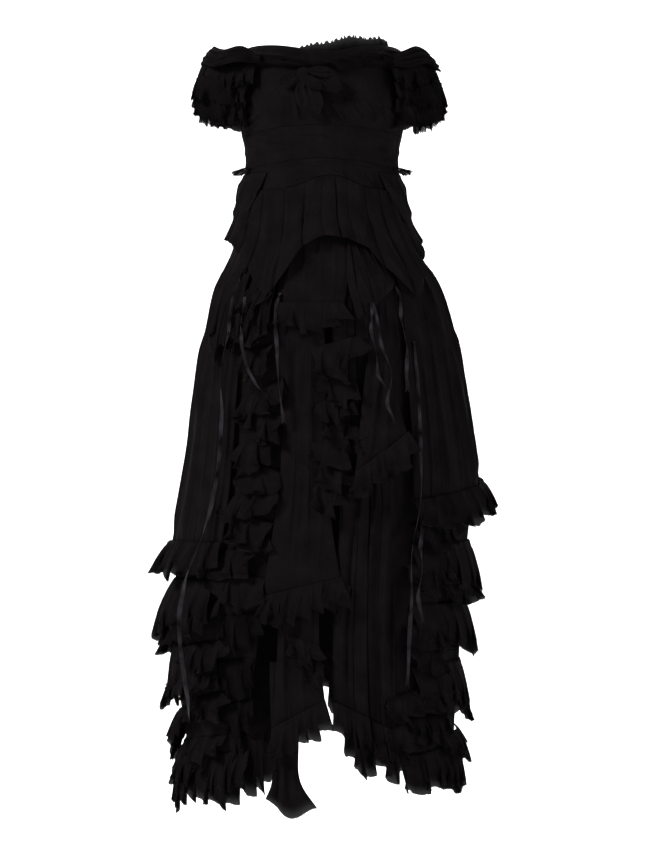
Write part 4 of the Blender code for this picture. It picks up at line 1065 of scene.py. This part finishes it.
THREAD = 0.16
roots, aims, luck = (np.array([strand[k] for strand in strands]) for k in range(3))
aims = aims + 0.7 * (luck - 0.5)
aims /= np.linalg.norm(aims, axis=1, keepdims=True)
lengths = 2.0 + 6.5 * luck[:, :1] ** 3
side_a = np.cross(aims, [0.3, 0.2, 0.93])
side_a /= np.linalg.norm(side_a, axis=1, keepdims=True)
side_b = np.cross(aims, side_a)
base = roots - 1.2 * aims
thread_points = np.stack([
    base + THREAD * side_a, base + THREAD * (-0.5 * side_a + 0.87 * side_b),
    base + THREAD * (-0.5 * side_a - 0.87 * side_b), roots + lengths * aims], axis=1)
thread_silk = Finish("silk_thread")
fuzz = thread_silk.node("ShaderNodeTexNoise", {}, {
    "Vector": thread_silk.node("ShaderNodeTexCoord", {}, {}, "Object"), "Scale": 300.0})
thread_silk.wear(
    Base_Color=thread_silk.node("ShaderNodeValToRGB", {"stops": [
        (0.3, (0.0008, 0.0008, 0.0008, 1)), (0.8, (0.003, 0.0027, 0.0028, 1))]}, {"Fac": fuzz}),
    Roughness=0.8, Specular_IOR_Level=0.05)
joined("loose_threads", thread_points, [(0, 1, 2), (0, 3, 1), (1, 3, 2), (2, 3, 0)], thread_silk.material)

for name, row in (
    ("bodice_front", -2), ("midriff_front", 2), ("midriff_front", -3), ("yoke_front", 2),
    ("yoke_front", -3), ("hip_flap_left", 2), ("hip_flap_right", 2), ("bodice_back_left", -3),
    ("bodice_back_right", -3),
):
    stitch_along(name, row)
PITCH, STITCH, STITCH_HALF = 4.2, 2.6, 0.24
stitch_blocks = []
for line in stitches:
    reach = np.concatenate([[0], np.linalg.norm(np.diff(line, axis=0), axis=1).cumsum()])
    at = np.arange(1.0, reach[-1] - STITCH, PITCH)
    start, stop = (np.stack([np.interp(at + k, reach, line[:, axis]) for axis in range(3)], axis=1)
                   for k in (0, STITCH))
    way = stop - start
    way /= np.linalg.norm(way, axis=1, keepdims=True) + 1e-9
    up = np.cross(way, [0.0, 0.0, 1.0])
    up /= np.linalg.norm(up, axis=1, keepdims=True) + 1e-9
    over_under = np.cross(way, up)
    half_way = (start + stop) / 2
    stitch_blocks.append(np.stack([
        start, half_way + STITCH_HALF * up, half_way + STITCH_HALF * over_under,
        half_way - STITCH_HALF * up, half_way - STITCH_HALF * over_under, stop], axis=1))
joined("stitches", np.concatenate(stitch_blocks),
       [(0, 1, 2), (0, 2, 3), (0, 3, 4), (0, 4, 1), (5, 2, 1), (5, 3, 2), (5, 4, 3), (5, 1, 4)],
       thread_silk.material)


# Centre back zip: a closed chain of small metal teeth from the neck to the waist, black lacquered like
# the slider and its pull tab, which keep their solids' shapes.
lacquer = Finish("black_lacquer")
scuffs = lacquer.node("ShaderNodeTexNoise", {}, {
    "Vector": lacquer.node("ShaderNodeTexCoord", {}, {}, "Object"), "Scale": 900.0, "Detail": 4.0})
lacquer.wear(
    Base_Color=lacquer.node("ShaderNodeValToRGB", {"stops": [
        (0.45, (0.012, 0.012, 0.013, 1)), (0.75, (0.09, 0.09, 0.095, 1))]}, {"Fac": scuffs}),
    Metallic=0.9, Roughness=0.28 + 0.25 * scuffs)
for name in ("zip_slider", "zip_pull"):
    for material_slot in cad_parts[name].material_slots:
        material_slot.material = lacquer.material

TOOTH_PITCH, TOOTH = 2.0, np.array([1.9, 0.9, 1.2])
heights = np.arange(-4.0, 120.0, TOOTH_PITCH)
cube = np.array([(x, y, z) for x in (-0.5, 0.5) for y in (-0.5, 0.5) for z in (-0.5, 0.5)]) * TOOTH
shift = np.where(np.arange(len(heights)) % 2 == 0, -0.45, 0.45)
middle = np.stack([shift, on_form(np.full(len(heights), 180.0), heights, 1.6)[:, 1], heights], axis=1)
joined("zip_teeth", middle[:, None, :] + cube[None], [
    (0, 1, 3), (0, 3, 2), (4, 6, 7), (4, 7, 5), (0, 4, 5), (0, 5, 1),
    (2, 3, 7), (2, 7, 6), (0, 2, 6), (0, 6, 4), (1, 5, 7), (1, 7, 3)], lacquer.material)
